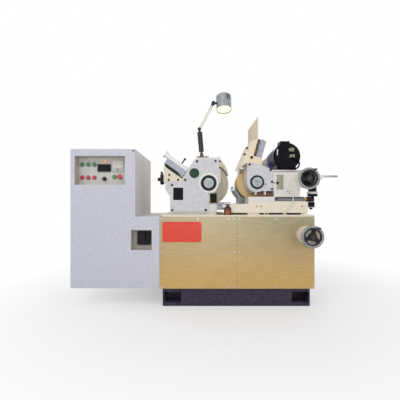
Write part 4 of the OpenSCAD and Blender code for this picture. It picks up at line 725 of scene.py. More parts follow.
@dataclass
class Bed(Group):
    """Dark plinth, cream bed casting and its stainless front with its red plate."""

    red_x: Span = (-485.0, -230.0)
    red_z: Span = (424.0, 558.0)
    red_t: float = 1.5
    rivet_in: float = 8.0
    rivet: tuple[Span, ...] = ((0, 0), (3, 0), (2.4, -1.0), (0, -1.5))
    screws_y: float = -340.0
    screws_below: float = 590.0

    def build(self) -> None:
        """Dresses the plinth, bed, panels and screws, and rivets a bare red plate to the left panel."""
        screws = inside(y=(-FAR, self.screws_y), z=(0.0, self.screws_below))
        self.dress(plinth=(PLINTH, 2.5), bed_casting=(CAST_CREAM, 2.5), front_panels=(STAINLESS, 0.6),
                   fasteners=(BLACK_OXIDE, 0.8, [(GROUND_STEEL, screws)]))
        front = low("front_panels").y
        (x0, x1), (z0, z1), face = self.red_x, self.red_z, front - self.red_t
        self.piece("red_plate", Shape().block((x0, face, z0), (x1, front + SINK, z1), 0.6), RED_PLATE,
                   "bed_casting", "red_plastic")
        rivets = Shape()
        for x in (x0 + self.rivet_in, x1 - self.rivet_in):
            for z in (z0 + self.rivet_in, z1 - self.rivet_in):
                rivets.lathe((x, face + SINK, z), Axis.Y, self.rivet, 16)
        self.piece("red_plate_rivets", rivets, GROUND_STEEL, "bed_casting", "steel")


@dataclass
class Cabinet(Group):
    """Electrical cabinet with its control plate and isolator."""

    face: float = -275.3
    display: tuple[Span, Span] = ((-924.1, -842.5), (892.0, 936.0))
    lamp: tuple[Span, Span] = ((-890.0, -870.0), (945.0, 970.0))
    meter: Point = (-829.3, 891.0, 74.0)
    card: float = -282.3
    knob: Span = (-882.3, 841.0)
    tag: Span = (11.0, 4.5)
    tags: tuple[Span, ...] = tuple((x, z) for z in (912.0, 826.0) for x in (-1033.3, -992.3, -951.3)) + (
        (-815.3, 822.0), (-777.3, 822.0))
    dial_rim: float = 34.0
    dial_stop: float = -50.0
    louvre: Point = (150.0, 1.2, 6.0)
    louvres_x: Span = (-1010.0, -820.0)
    louvres_z: Span = (220.0, 18.0)
    louvre_rows: int = 9

    def build(self) -> None:
        """Dresses the sheets, the plate and everything that is pressed or turned on it."""
        mx, mz, mw = self.meter
        # Recess walls take a darker copy of the coat as painted shade
        recess = inside(y=(low("cabinet_front").y + 3.5, FAR))
        dial = inside(x=(mx + 3.2, mx + mw - 3.2), y=(-283.0, -281.0), z=(mz + 25.5, mz + mw - 3.5))
        self.dress(
            cabinet_body=(SHEET_SIDE_LIT, 1.2), cabinet_front=(SHEET_COOL, 0.8, [(RECESS_SHADE, recess)]),
            control_plate=(FASCIA, 0.5, [(COLLAR, inside(y=(-FAR, self.face - 0.3)))]),
            panel_instruments=(BLACK_PLASTIC, 0.6, [
                (LAMP_ORANGE, inside(x=self.lamp[0], z=self.lamp[1])), (DIAL_WHITE, dial),
                (METER_CASE, inside(x=(mx - 1, mx + mw + 1))),
                (DISPLAY, inside(x=self.display[0], y=(-283.1, -282.0), z=self.display[1]))]))
        for i in (1, 2, 3):
            self.dress(**{f"green_button_{i}": (GREEN_CAP, 0.8), f"red_button_{i}": (RED_CAP, 0.8)})
        self.dress(start_button=(GREEN_CAP, 0.8), stop_mushroom=(RED_CAP, 0.8),
                   speed_knob=(BLACK_PLASTIC, 0.6), isolator_handle=(BLACK_PLASTIC, 0.8))
        self.scale()
        self.marks()

    def scale(self) -> None:
        """The meter's arc of ticks, its pointer and the pointer's screw."""
        mx, mz, mw = self.meter
        x, z, rim, stop = mx + mw / 2, mz + mw / 3 + 2.0, self.dial_rim, self.dial_stop
        marks = Shape()
        for i in range(11):
            length = 7.0 if i % 5 == 0 else 4.0
            marks.block((-0.4, -0.2, rim - length), (0.4, 0.1, rim), 0.0,
                        about((x, self.card, z), stop + 10 * i))
        marks.block((-0.5, -0.2, 2.0), (0.5, 0.2, 30.0), 0.0, about((x, self.card - 0.3, z), stop))
        marks.lathe((x, self.card - 1.0, mz + 12.0), Axis.Y, ((0, 0.3), (5, 0.3), (4.4, -1.2), (0, -1.4)), 20)
        self.piece("meter_scale", marks, BLACK_PAINT, "cabinet_body", "instrument")

    def marks(self) -> None:
        """The speed knob's white line, bare tags under the buttons, and louvres low in the cabinet's back."""
        (x, z), front = self.knob, low("speed_knob").y
        line = Shape().block((x - 0.9, front - 0.25, z + 1.0), (x + 0.9, front + SINK, z + 9.5))
        self.piece("speed_knob_line", line, DIAL_WHITE, "speed_knob", "black_plastic")
        tags, louvres = Shape(), Shape()
        half, tall = self.tag
        for x, z in self.tags:
            tags.block((x - half, self.face - 0.5, z), (x + half, self.face + 0.1, z + tall), 0.2)
        self.piece("button_tags", tags, RING_WHITE, "cabinet_body", "fascia")
        back, (wide, out, tall), (foot, pitch) = high("cabinet_body").y, self.louvre, self.louvres_z
        for z in (foot + pitch * i for i in range(self.louvre_rows)):
            for x in self.louvres_x:
                louvres.block((x, back, z), (x + wide, back + out, z + tall), 0.4)
        self.piece("cabinet_louvres", louvres, BLACK_PAINT, "cabinet_body", "cabinet_paint")


@dataclass
class GrindingHead(Group):
    """Grinding head with its wheel, guard and front plate."""

    axis: Span = (-182.0, 812.0)
    front: float = -290.0
    ring_r: float = 68.0
    cap_rim: Span = (26.5, 32.0)
    sleeve_y: float = -277.8
    plate: tuple[Span, Span] = ((-419.0, -352.0), (698.0, 782.0))
    border: float = 5.0
    opening: tuple[Span, Span] = ((-174.0, -128.0), (680.0, 742.0))
    slot_shade: Point = (-203.0, -293.3, 632.0)
    slot_shade_lean: float = 35.0
    sight: Span = (-96.0, 66.0)
    sight_rim: Span = (33.6, 40.0)
    bolts_at: Span = (-105.0, -278.0)
    bolts_z: Span = (959.0, 916.0)
    eye: Point = (-114.0, -262.0, 983.0)
    hood: Point = (-57.0, -306.0, 600.2)
    hood_r: float = 23.0
    hood_foot: float = 34.0

    def build(self) -> None:
        """Dresses the castings, the wheel, the bearings and the sight glass."""
        ahead = inside(y=(-FAR, self.front))
        collar = ring(*self.axis, (0, self.ring_r), (-FAR, self.front - 0.1))
        self.dress(
            grinding_head=(CAST_LIGHT, 2.0), grinding_front_plate=(PLATE_GREY, 1.5, [(RING_WHITE, collar)]),
            grinding_bearings=(BRONZE, 0.8, [(BLACK_PAINT, inside(y=(-FAR, self.sleeve_y)))]),
            sight_glass=(SIGHT, 1.0), wheel_guard=(GUARD_CREAM, 1.5),
            grinding_spindle=(GROUND_STEEL, 1.5, [(SLAB_LIGHT, walls(ahead)), (CAP_STEEL, ahead)]),
            grinding_wheel=(WHEEL_WHITE, 1.5),
            coolant_block=(COOLANT_GREY, 1.2, [(SLAB_LIGHT, inside(y=(-FAR, self.front - 1.0)))]))
        self.plates()
        self.trim()
        self.spout()

    def plates(self) -> None:
        """The bare black plate in its light border, and black sheets of painted shade over the opening below
        the ring and over a slot.
        """
        (x0, x1), (z0, z1), y, out = *self.plate, self.front, self.border
        border = Shape().block((x0 - out, y - 1.2, z0 - out), (x1 + out, y + SINK, z1 + out), 0.4)
        self.piece("head_plate_border", border, RING_WHITE, "grinding_head", "stainless")
        black = Shape().block((x0, y - 1.8, z0), (x1, y - 1.0, z1), 0.3)
        # Black sheets over the opening below the ring and over a slot are painted shade
        (x0, x1), (z0, z1) = self.opening
        black.block((x0, y - 0.8, z0), (x1, y + SINK, z1), 0.3)
        black.block((-8, -0.3, -2), (8, 0.3, 2), 0.0, about(self.slot_shade, self.slot_shade_lean))
        self.piece("head_black_plates", black, BLACK_PAINT, "grinding_head", "plate_paint")
        edge = Shape().block((x0 - out, y - 2.0, z0), (x0, y + SINK, z1), 0.5)
        self.piece("head_opening_edge", edge, RING_WHITE, "grinding_head", "plate_paint")

    def trim(self) -> None:
        """Rim of the sight glass, the lifting eye, the guard's bolts and the rim of the spindle's cap."""
        (ax, az), (x, y, z) = self.axis, self.eye
        rim = Shape().hoop((ax + self.sight[0], self.front, az + self.sight[1]), self.sight_rim, 3.4)
        self.piece("sight_rim", rim, RING_WHITE, "grinding_head", "steel")
        turns = [math.radians(a) for a in range(-70, 251, 20)]
        eye = Shape().tube([(x + 9 * math.cos(a), y, z + 10 * math.sin(a)) for a in turns], 3.0)
        eye.lathe((x, y, z - 10.5), Axis.Z, ((0, 0), (8, 0), (8, 2), (5, 4), (0, 4)), 20)
        self.piece("lifting_eye", eye, RING_WHITE, "grinding_head", "head_paint")
        bolts = Shape()
        for z in self.bolts_z:
            bolts.cap_screw((*self.bolts_at, z), Axis.Y, 6.0, 5.0, sign=-1.0)
        self.piece("guard_bolts", bolts, BLACK_OXIDE, "grinding_head", "black_screw")
        rim = Shape().hoop((ax, low("grinding_spindle").y, az), self.cap_rim, 1.6, (0.9, 0.8))
        self.piece("grinding_cap_rim", rim, SLAB_LIGHT, "grinding_spindle", "steel")

    def spout(self) -> None:
        """Arched coolant hood in front of the wheels, black outside and brown with oil within, its mouth
        darkened towards the top as painted shade.
        """
        (x, y, z), r, foot, hood = self.hood, self.hood_r, self.hood_foot, Shape()
        arch = [(r * math.cos(a), foot + r * math.sin(a)) for a in map(math.radians, range(180, -1, -12))]
        hood.raised([(x + u, y, z + w) for u, w in [(-r, 0.0)] + arch + [(r, 0.0)]], (0, -14, 0))
        bmesh.ops.recalc_face_normals(hood.bm, faces=hood.bm.faces)
        front = min(hood.bm.faces, key=lambda f: f.calc_center_median().y)
        bmesh.ops.inset_region(hood.bm, faces=[front], thickness=0.006, depth=-0.004)
        mouths = (f for f in hood.bm.faces if len(f.verts) > 8 and f.normal.y < -0.9)
        middle = min(mouths, key=lambda f: f.calc_area()).calc_center_median().copy()
        self.piece("coolant_hood", hood, BLACK_PAINT, "bed_casting", "grey_metal",
                   zones=[(BROWN_OIL_TOP_SHADE, lambda c, n: (c - middle).length < 0.004)])


@dataclass
class GrindingDresser(Group):
    """Dresser of the grinding wheel, on its own sloping axes."""

    axes: Matrix = field(default_factory=lambda: about((-484, 0, 912), 35.5))
    rail: float = 15.5
    slab: float = 72.0
    bolts: tuple[Span, ...] = ((-446, 867), (-450, 833), (-387, 834))
    screws: tuple[Point, ...] = tuple((u, v, 97.0) for u in (-26.0, 124.0) for v in (-270.0, -76.0))

    def build(self) -> None:
        """Dresses its wedge, rail, slide, lever and handwheel, and bolts the wedge down."""
        on, up = self.axes, self.axes.to_3x3() @ Vector((0, 0, 1))
        self.dress(
            dresser_base=(GUARD_CREAM, 1.2, [(BLACK_PAINT, inside(z=(self.rail, 60), axes=on))]),
            dresser_slide=(SLIDE_STEEL, 1.0, [
                (GROUND_STEEL, inside(x=(136.5, 400), axes=on)), (RIM_GREY, inside(x=(-90, -38.5), axes=on)),
                (SLAB_CREAM, inside(z=(self.slab, 140), axes=on))], [(on @ mm(0, 0, self.slab), up)]),
            dresser_lever=(BLACK_PLASTIC, 0.8), dresser_handwheel=(BLACK_PLASTIC, 1.0))
        bolts, screws = Shape(), Shape()
        for x, z in self.bolts:
            bolts.cap_screw((x, low("dresser_base").y, z), Axis.Y, 7.0, 3.5, sign=-1.0)
        self.piece("dresser_bolts", bolts, BLACK_OXIDE, "dresser_base", "black_screw")
        for at in self.screws:
            screws.cap_screw(at, Axis.Z, 4.5, 3.0, on)
        self.piece("dresser_slab_screws", screws, BLACK_OXIDE, "dresser_slide", "black_screw")


@dataclass
class Drive(Group):
    """Main motor, belts and their guard."""

    def build(self) -> None:
        """Dresses the drive of the grinding wheel."""
        self.dress(main_motor=(MOTOR_GREY, 1.2), belt_guard=(GUARD_CREAM, 1.5), drive_belts=(RUBBER, 0.8),
                   spindle_pulley=(GROUND_STEEL, 0.6), motor_pulley=(GROUND_STEEL, 0.6))


@dataclass
class Lamp(Group):
    """Work lamp on its two arms."""

    axes: Matrix = field(default_factory=lambda: about((-72.8, -200, 1374.2), -17, "X"))
    radius: float = 52.0
    knuckle_z: float = 1358.0
    hinge_x: float = -122.0
    glass_z: Span = (-46.0, -38.0)
    vent_turns: Span = (22.0, 41.0)

    def build(self) -> None:
        """Dresses the foot, arms and head, lights the glass and lays dark strips on the head for its vents.
        """
        on, r = self.axes, self.radius
        glass, own = inside(x=(-50, 50), y=(-50, 50), z=self.glass_z, axes=on), on.inverted().to_3x3()
        self.dress(
            lamp_base=(LAMP_BROWN, 0.8), lamp_lower_arm=(LAMP_BLACK, 0.6),
            lamp_upper_arm=(LAMP_ROD, 0.5, [(LAMP_BLACK, inside(z=(self.knuckle_z, FAR)))]),
            lamp_head=(LAMP_HEAD, 0.8, [(LAMP_GLOW, lambda c, n: glass(c, n) and abs((own @ n).z) > 0.9),
                                        (LAMP_BLACK, inside(x=(-FAR, self.hinge_x)))]))
        vents = Shape()
        for turn in self.vent_turns:
            vents.block((-4, -r - 0.35, 4), (4, -r + 0.4, 48), 0.2, on @ about((0, 0, 0), turn, "Z"))
        self.piece("lamp_vents", vents, BLACK_PAINT, "lamp_head", "lamp_grey")


@dataclass
class Slides(Group):
    """Feed slides, their screws and handwheels."""

    upper: Point = (455.0, -390.0, 836.0)
    lower: Point = (444.0, -479.3, 473.0)
    rim: float = 70.0
    bar: float = 8.0
    drum: float = 58.0
    drum_back: float = 17.5
    front: float = -290.0
    window: tuple[Span, Span] = ((268.0, 325.0), (760.0, 872.0))
    stem: Span = (522.0, -262.0)
    stop: Span = (512.0, -262.0)
    lever: Span = (542.0, 830.0)
    plugs: tuple[Span, ...] = ((344.0, 756.0), (363.0, 756.0))
    nipple: Span = (356.0, 744.0)
    gibs: tuple[Span, ...] = ((141.0, 656.0), (168.0, 656.0), (443.0, 656.0))
    gap_shade_x: tuple[Span, ...] = ((160, 186), (200, 210), (222, 316), (340, 436))
    gap_shade_z: Span = (603.0, 611.6)
    tube_r: float = 3.4
    tubes: tuple[tuple[Point, ...], ...] = (
        ((381, -288, 740), (381, -295, 738), (381, -298, 722), (380, -298, 690)),
        ((380, -296, 684), (376, -297, 668), (352, -297, 640), (336, -297, 618)))

    def build(self) -> None:
        """Dresses both slides and everything that feeds them."""
        nut = (680.0, 722.0)
        self.dress(
            lower_slide=(CAST_CREAM, 1.8),
            upper_slide=(CAST_LIGHT, 1.8, [
                (DIAL_GREEN, inside(x=self.window[0], y=(-287.2, -285.8), z=self.window[1])),
                (GROOVE_SHADE, inside(x=(258, 470), y=(-289.0, -275.0), z=(690, 719.5)))]),
            upper_feed_housing=(CAST_LIGHT, 1.2, [
                (BRASS, inside(x=(463, 478.5), z=nut)), (BLACK_PLASTIC, inside(x=(478, 540), z=nut)),
                (RIM_GREY, inside(x=(491, 600))), (DRUM_CREAM, inside(y=(-FAR, self.front - 0.2)))]),
            lower_feed_drum=(DRUM_CREAM, 1.2), lower_feed_screw=(GROUND_STEEL, 0.6),
            upper_feed_screw=(GROUND_STEEL, 0.6))
        self.wheel("upper_handwheel", self.upper, 24.0)
        self.wheel("lower_handwheel", self.lower, 10.0)
        self.dress(infeed_lever=(SLAB_LIGHT, 0.8, [(COOLANT_GREY, inside(x=(640, 900)))]))
        self.graduations()
        self.tilt()
        self.small()
        self.clamps()

    def wheel(self, node: str, at: Point, turn: float) -> None:
        """A handwheel whose web is opened to three spokes, as the real ones are.

        Args:
            node: CAD node of the handwheel.
            at: Middle of its rim.
            turn: Angle of its first spoke in degrees.
        """
        (x, y, z), wheel, middle = at, Shape(node), self.rim - self.bar

        def web(face: bmesh.types.BMFace) -> bool:
            """Tells the web's faces from those of the hub and of the round rim bar.

            Args:
                face: A face of the wheel.

            Returns:
                Whether it belongs to the web.
            """
            spots = [(math.hypot(v.co.x * 1000 - x, v.co.z * 1000 - z), v.co.y * 1000 - y)
                     for v in face.verts]
            between = all(abs(d) < 6.0 and 15.8 < r < 57.6 for r, d in spots)
            flat = abs(face.normal.y) > 0.95 or all(r > 17 for r, _ in spots)
            on_bar = all(abs(r - middle) <= self.bar * 1.01
                         and abs(math.hypot(r - middle, d) - self.bar) < 0.15 for r, d in spots)
            return between and flat and not on_bar

        bmesh.ops.delete(wheel.bm, geom=[f for f in wheel.bm.faces if web(f)], context="FACES")
        wheel.edged(0.8)
        for r0, r1, half, steps in ((46.5, 57, 4, 48), (15.5, 25, 6, 32)):
            wheel.lathe(at, Axis.Y, ((r0, -half), (r1, -half), (r1, half), (r0, half), (r0, -half)), steps)
        for i in range(3):
            wheel.block((-13, -3.8, 20), (13, 3.8, 50), 1.5, about(at, turn + 120 * i))
        near = (y - 9, y + 9)
        self.stand_in(node, wheel, BLACK_PLASTIC, [
            (RIM_GREY, ring(x, z, (57.3, 90), near)), (RIM_GREY, walls(ring(x, z, (53.5, 57.2), near))),
            (BLACK_OXIDE, ring(x, z, (0, 16.5), (y - 9, y - 7))),
            (BLACK_OXIDE, inside(y=(low(node).y - 1, y - 9)))])

    def graduations(self) -> None:
        """Fine black ticks round the front edge of each drum, and the dark disc inside the upper wheel."""
        r = self.drum
        for name, (x, y, z), node in (("upper_drum_ticks", self.upper, "upper_feed_housing"),
                                      ("lower_drum_ticks", self.lower, "lower_feed_drum")):
            ticks = Shape()
            for i in range(50):
                ticks.block((-0.35, 0, r - SINK), (0.35, 9.0 if i % 5 == 0 else 5.0, r + SINK), 0.0,
                            about((x, y + self.drum_back, z), 360 * i / 50))
            self.piece(name, ticks, BLACK_PAINT, node, "cream_paint")
        x, y, z = self.upper
        disc = Shape().lathe((x, y + self.drum_back, z), Axis.Y,
                             ((0, -1), (43, -1), (44, 0), (44, 0.4), (0, 0.4)), 48)
        self.piece("upper_drum_disc", disc, BLACK_PLASTIC, "upper_feed_housing", "cream_paint")

    def tilt(self) -> None:
        """Scale lines and pointer of the tilt window, and the rail in the long groove."""
        lines, pointer, y = Shape(), Shape(), self.front - 3.8
        for i in range(15):
            x = 313 - (14.0 if i % 5 == 2 else 8.0)
            lines.block((x, -286.8, 778 + 6.0 * i), (313, -286.3, 778.7 + 6.0 * i))
        self.piece("tilt_scale_lines", lines, BLACK_PAINT, "upper_slide", "head_paint")
        pointer.raised([(272, y, 824), (272, y, 802), (291, y, 813)], (0, 1.6, 0))
        bmesh.ops.recalc_face_normals(pointer.bm, faces=pointer.bm.faces)
        pointer.block((250, y, 812), (273, y + 1.6, 814.4), 0.3)
        pointer.block((250, y, 811), (256, y + 2.8, 815.4), 0.3)
        self.piece("tilt_pointer", pointer, BLACK_PAINT, "regulating_head", "black_screw")
        rail = Shape().block((285, -279.5, 697), (455, -275.8, 707), 0.6)
        self.piece("groove_rail", rail, SLIDE_STEEL, "upper_slide", "steel")

    def small(self) -> None:
        """Plugs, the oil nipple, the bent oil tubes, and black strips of painted shade in the gap under the
        lower slide.
        """
        plugs, screws, gap_shade_strips, seat = Shape(), Shape(), Shape(), self.front + SINK
        for x, z in self.plugs:
            plugs.lathe((x, seat, z), Axis.Y, ((0, 0), (3.4, 0), (3.0, -0.9), (0, -0.9)), 16)
        self.piece("slide_plugs", plugs, BLACK_OXIDE, "upper_slide", "black_screw")
        nipple = Shape().lathe((self.nipple[0], seat, self.nipple[1]), Axis.Y,
                               ((0, 0), (4.5, 0), (4.5, -2), (2.6, -3.5), (2.6, -7), (0, -8)), 18)
        self.piece("oil_nipple", nipple, BRASS, "upper_slide", "bronze")
        for x, z in self.gibs:
            screws.cap_screw((x, self.front, z), Axis.Y, 5.5, 3.0, sign=-1.0)
        self.piece("gib_screws", screws, BRASS, "lower_slide", "bronze")
        for side, points in zip(("upper", "lower"), self.tubes):
            self.piece("oil_tube_" + side, Shape().tube(points, self.tube_r), RING_WHITE, side + "_slide",
                       "cream_paint")
        # Black strips in the gap between the lower slide and the deck are painted shade
        z0, z1 = self.gap_shade_z
        for x0, x1 in self.gap_shade_x:
            gap_shade_strips.block((x0, -289.5, z0), (x1, -284.0, z1), 0.4)
        self.piece("way_wipers", gap_shade_strips, BLACK_PAINT, "lower_slide", "black_plastic")

    def clamps(self) -> None:
        """Lobed clamp knobs with their disc, the feed stop below them, and the lever's bolt and plate."""
        knobs = Shape().lobed((*self.stem, 722), 34.0, 18.0).lobed((*self.stem, 756), 28.0, 32.0)
        knobs.lathe((*self.stem, 708), Axis.Z, ((0, 0), (9, 0), (9, 15), (0, 15)), 24)
        self.piece("clamp_knobs", knobs, BLACK_PLASTIC, "upper_slide", "black_plastic")
        disc = Shape().lathe((*self.stem, 740), Axis.Z,
                             ((0, 0), (34, 0), (36, 2), (36, 13), (34, 15), (0, 16)))
        self.piece("clamp_disc", disc, RING_WHITE, "upper_slide", "cream_paint")
        stop = Shape().lathe((*self.stop, 636), Axis.Z,
                             ((0, 0), (10, 0), (11, 10), (24, 16), (24, 48), (22, 50), (0, 50)), 36)
        self.piece("lower_stop", stop, BLACK_PLASTIC, "lower_slide", "black_plastic")
        flange = Shape().lathe((*self.stop, 647), Axis.Z, ((11, 0), (27, 2), (27, 5), (11, 6)), 36)
        flange.block((481, -272, 655), (492, -252, 680), 1.0)
        self.piece("lower_stop_flange", flange, SLAB_LIGHT, "lower_slide", "steel")
        x, z = self.lever
        bolt = Shape().cap_screw((x, low("infeed_lever").y, z), Axis.Y, 8.0, 5.0, sign=-1.0)
        self.piece("lever_bolt", bolt, BLACK_OXIDE, "infeed_lever", "black_screw")
        plate = Shape().block((4, -250.8, -12), (70, -227.6, 12), 3.0, about((x, 0, z), -30))
        self.piece("lever_plate", plate, SLAB_CREAM, "infeed_lever", "stainless")


@dataclass
class WorkRest(Group):
    """Bracket and blade that carry the work between the wheels."""

    def build(self) -> None:
        """Dresses the bracket and the blade."""
        self.dress(work_rest=(COOLANT_GREY, 1.0), rest_blade=(GROUND_STEEL, 0.5))


@dataclass
class RegulatingHead(Group):
    """Regulating head with its wheel and front plate."""

    axis: Span = (142.0, 818.0)
    front: float = -290.0
    cap_rim: Span = (26.5, 32.0)
    plug: Span = (199.0, 806.0)
    sleeve_y: float = -277.8
    covers: tuple[Span, ...] = ((146.0, 192.0), (207.0, 248.0))
    covers_z: float = 720.9
    pitch: float = 6.0

    def build(self) -> None:
        """Dresses the castings, the wheel and the bearings, and adds the oil plug and the cap's rim."""
        ahead, y = inside(y=(-FAR, self.front)), self.front
        self.dress(
            regulating_head=(CAST_LIGHT, 1.8),
            # The ring ahead of the plate is painted black: partly its dark hub, partly painted shade of the
            # recess round it
            regulating_front_plate=(PLATE_GREY, 1.2, [(BLACK_OXIDE, inside(y=(-FAR, y - 0.1)))]),
            regulating_bearings=(BRONZE, 0.8, [(BLACK_PAINT, inside(y=(-FAR, self.sleeve_y)))]),
            regulating_spindle=(GROUND_STEEL, 1.2, [(SLAB_LIGHT, walls(ahead)), (CAP_STEEL, ahead)]),
            regulating_wheel=(WHEEL_YELLOW, 1.2))
        x, z = self.plug
        plug = Shape().lathe((x, y + SINK, z), Axis.Y,
                             ((0, 0), (6, 0), (6, -1.5), (3.4, -3), (3.4, -6), (0, -6.5)), 20)
        self.piece("head_oil_plug", plug, BRASS, "regulating_front_plate", "bronze")
        x, z = self.axis
        rim = Shape().hoop((x, low("regulating_spindle").y, z), self.cap_rim, 1.6, (0.9, 0.8))
        self.piece("regulating_cap_rim", rim, SLAB_LIGHT, "regulating_spindle", "steel")
        self.ribs()

    def ribs(self) -> None:
        """Oily ribbed covers that stand on the upper slide under the head's front plate."""
        foot, top, y, ribs = self.covers_z, low("regulating_front_plate").z - 11.5, self.front, Shape()
        for x0, x1 in self.covers:
            ribs.block((x0, y + 8, foot), (x1, y + 12, top), 0.4)
            for i in range(int((x1 - x0) / self.pitch)):
                x = x0 + self.pitch * i
                ribs.block((x + 2.0, y + 6.2, foot), (x + 4.4, y + 8.2, top - 1.0), 0.3)
        self.piece("ribbed_covers", ribs, RIB_BROWN, "upper_slide", "grey_metal")


@dataclass
class RegulatingDresser(Group):
    """Dresser of the regulating wheel with its splash sheet, on its own steep axes."""

    axes: Matrix = field(default_factory=lambda: about((118, 0, 994), 15))
    knobs: tuple[Span, ...] = ((86.5, 1048.0), (69.5, 1006.0))
    knob_y: float = -262.0
    knob_lean: float = -68.0
    button: Span = (106.0, 984.0)

    def build(self) -> None:
        """Dresses the guard, the sheet and the slide, and adds the guard's knobs."""
        on = self.axes
        self.dress(
            regulating_guard=(GUARD_WARM, 1.2, [(LAMP_BROWN, inside(x=(0.15, 17.4), z=(2.6, 130), axes=on))]),
            splash_sheet=(SPLASH, 0.6),
            regulating_dresser_slide=(SLIDE_STEEL, 1.0, [(BLACK_PAINT, inside(z=(121.3, 200), axes=on)),
                                                         (GROUND_STEEL, inside(z=(-200, 2.5), axes=on))]))
        knobs, knob = Shape(), ((0, -2), (4, -2), (4, 5), (8, 6), (9, 12), (6, 15), (0, 15.5))
        for x, z in self.knobs:
            knobs.lathe((0, 0, 0), Axis.Z, knob, 20, about((x, self.knob_y, z), self.knob_lean))
        x, z = self.button
        knobs.lathe((x, low("regulating_guard").y + 0.3, z), Axis.Y,
                    ((0, 0), (9, 0), (9.5, -3), (8, -5.5), (0, -6)), 24)
        self.piece("guard_knobs", knobs, BLACK_PLASTIC, "regulating_guard", "black_plastic")


@dataclass
class GearMotor(Group):
    """Gear motor that turns the regulating wheel."""

    front: float = -230.0
    axis: Span = (360.0, 1001.0)
    gearbox_y: float = -80.6
    plates: tuple[tuple[Span, Span], ...] = (((372, 408), (1034, 1057)), ((378, 414), (991, 1013)))
    strip: tuple[Span, Span] = ((290, 297), (1008, 1050))
    grille: Point = (24.0, 38.0, 52.0)
    loop: Point = (406.0, -240.0, 946.0)
    loop_r: float = 34.0
    cable_r: float = 5.5

    def build(self) -> None:
        """Dresses the motor, the gearbox and the chain case, and adds its plates and cable."""
        self.dress(gear_motor=(MOTOR_BLACK, 1.0, [(GEAR_BLUE, inside(y=(self.gearbox_y, 900)))]),
                   chain_case=(GUARD_CREAM, 1.5))
        y, slot = self.front, "motor_paint"
        for name, finish, places in (("motor_plates", DIAL_GREEN, self.plates),
                                     ("motor_strip", RING_WHITE, (self.strip,))):
            plates = Shape()
            for (x0, x1), (z0, z1) in places:
                plates.block((x0, y - 0.8, z0), (x1, y + SINK, z1), 0.4)
            self.piece(name, plates, finish, "gear_motor", slot)
        grille = Shape()
        for r in self.grille:
            grille.hoop((self.axis[0], y, self.axis[1]), (r, r + 5), 1.6, steps=40)
        self.piece("motor_grille", grille, BLACK_PAINT, "gear_motor", slot)
        (x, y, z), r = self.loop, self.loop_r
        turns = map(math.radians, range(70, -131, -20))
        bend = [(x + r * math.cos(a), y, z + r * math.sin(a)) for a in turns]
        path = [(390, -226, 992), (404, -238, 986)] + bend + [(378, -234, 926), (372, -224, 934)]
        self.piece("motor_cable", Shape().tube(path, self.cable_r), RUBBER, "gear_motor", slot)


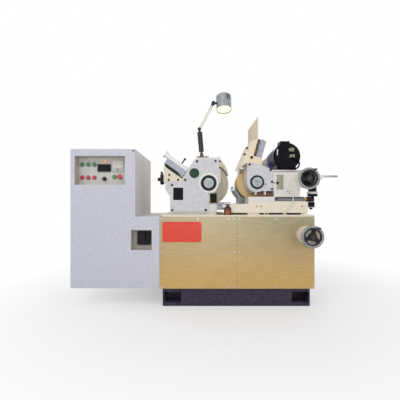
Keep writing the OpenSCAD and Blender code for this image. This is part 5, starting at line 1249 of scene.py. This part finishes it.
@dataclass
class Studio:
    """Plain pale floor, soft light, and the camera at the photograph's place."""

    eye: Point = (-250.0, -2350.0, 692.0)
    focal: float = 308.0
    pixels: float = 400.0
    shift: Span = (1.5, 1.0)
    sensor: float = 36.0
    floor_size: float = 40.0
    floor_drop: float = 0.0005
    aim: Point = (-150.0, 0.0, 650.0)
    soft: float = 0.42
    lights: tuple[tuple[str, Point, float, float], ...] = (
        ("key", (-1900, -2900, 3200), 2.6, 42.0), ("fill", (2300, -2500, 2300), 2.6, 20.0),
        ("rear", (600, 2900, 2900), 2.4, 30.0), ("front", (-150, -3300, 1000), 1.6, 11.0))

    def build(self) -> None:
        """Makes the floor, the lamps, the world and the camera."""
        self.floor()
        self.lamps()
        self.world()
        self.camera()

    def floor(self) -> None:
        """A wide pale floor that keeps the object's shadow."""
        bm = bmesh.new()
        bmesh.ops.create_grid(bm, x_segments=1, y_segments=1, size=self.floor_size)
        bmesh.ops.translate(bm, vec=(0, 0, CAD_BOX[0][2] - self.floor_drop), verts=bm.verts)
        mesh = bpy.data.meshes.new("studio_floor")
        bm.to_mesh(mesh)
        bm.free()
        mat = bpy.data.materials.new("studio_floor_white")
        mat.use_nodes = True
        tree = mat.node_tree
        tree.nodes.clear()
        paint = add_node(tree, "BsdfDiffuse", {"Color": linear("#f4f4f4")})
        # The floor fades to the white of the background away from the object
        place = add_node(tree, "TexCoord", {}).outputs["Object"]
        away = add_node(tree, "VectorMath", {0: place}, operation="LENGTH").outputs["Value"]
        fade = add_node(tree, "MapRange", {"Value": away, "From Min": 0.55, "From Max": 1.9, "To Min": 0.45})
        path = add_node(tree, "LightPath", {})
        share = add_node(tree, "Math", {0: fade.outputs["Result"], 1: path.outputs["Is Camera Ray"]},
                         operation="MULTIPLY")
        glow = add_node(tree, "Emission", {"Color": linear("#ffffff"), "Strength": 1.0})
        both = add_node(tree, "MixShader", {0: share.outputs[0], 1: paint.outputs[0], 2: glow.outputs[0]})
        add_node(tree, "OutputMaterial", {"Surface": both.outputs[0]})
        mesh.materials.append(mat)
        obj = bpy.data.objects.new("studio_floor", mesh)
        bpy.context.scene.collection.objects.link(obj)

    def lamps(self) -> None:
        """Large soft lamps that look at the object's middle."""
        for name, place, size, power in self.lights:
            data = bpy.data.lights.new("studio_" + name, "AREA")
            data.shape = "DISK"
            data.size = size
            data.energy = power
            lamp = bpy.data.objects.new("studio_" + name, data)
            lamp.location = mm(*place)
            lamp.rotation_mode = "QUATERNION"
            lamp.rotation_quaternion = (mm(*self.aim) - mm(*place)).to_track_quat("-Z", "Y")
            bpy.context.scene.collection.objects.link(lamp)

    def world(self) -> None:
        """A world that is white to the camera and plain light to the object."""
        world = bpy.data.worlds.new("studio_world")
        bpy.context.scene.world = world
        world.use_nodes = True
        tree = world.node_tree
        tree.nodes.clear()
        path = add_node(tree, "LightPath", {}).outputs
        seen = path["Is Camera Ray"]
        for ray in ("Is Glossy Ray", "Is Transmission Ray"):
            seen = add_node(tree, "Math", {0: seen, 1: path[ray]}, operation="MAXIMUM").outputs[0]
        soft = add_node(tree, "Background", {"Color": linear("#fafaff"), "Strength": self.soft})
        white = add_node(tree, "Background", {"Color": linear("#ffffff"), "Strength": 1.0})
        both = add_node(tree, "MixShader", {0: seen, 1: soft.outputs[0], 2: white.outputs[0]})
        add_node(tree, "OutputWorld", {"Surface": both.outputs[0]})

    def camera(self) -> None:
        """A level camera two metres in front of the bed, as in the photograph."""
        data = bpy.data.cameras.new("camera")
        data.sensor_width = self.sensor
        data.lens = self.focal / self.pixels * self.sensor
        data.shift_x, data.shift_y = (s / self.pixels for s in self.shift)
        data.clip_start, data.clip_end = 0.05, 200.0
        obj = bpy.data.objects.new("camera", data)
        obj.location = mm(*self.eye)
        obj.rotation_euler = (math.radians(90), 0.0, 0.0)
        bpy.context.scene.collection.objects.link(obj)
        bpy.context.scene.camera = obj


def main() -> None:
    """Builds each sub-assembly in order and reports its pieces."""
    logging.basicConfig(level=logging.INFO, format="%(name)s: %(message)s")
    bpy.context.scene.view_settings.view_transform = "Standard"
    Studio().build()
    made: list[str] = []
    for group in (Bed(), Cabinet(), GrindingHead(), GrindingDresser(), Drive(), Lamp(), Slides(), WorkRest(),
                  RegulatingHead(), RegulatingDresser(), GearMotor()):
        group.build()
        made += group.made
        LOG.info("%s: %s", type(group).__name__, ", ".join(group.made))
    dressed = {name[: -len("_dressed")] for name in made if name.endswith("_dressed")}
    LOG.info("nodes without looks: %s", sorted(set(frame["nodes"]) - dressed))


if __name__ == "__main__":
    main()
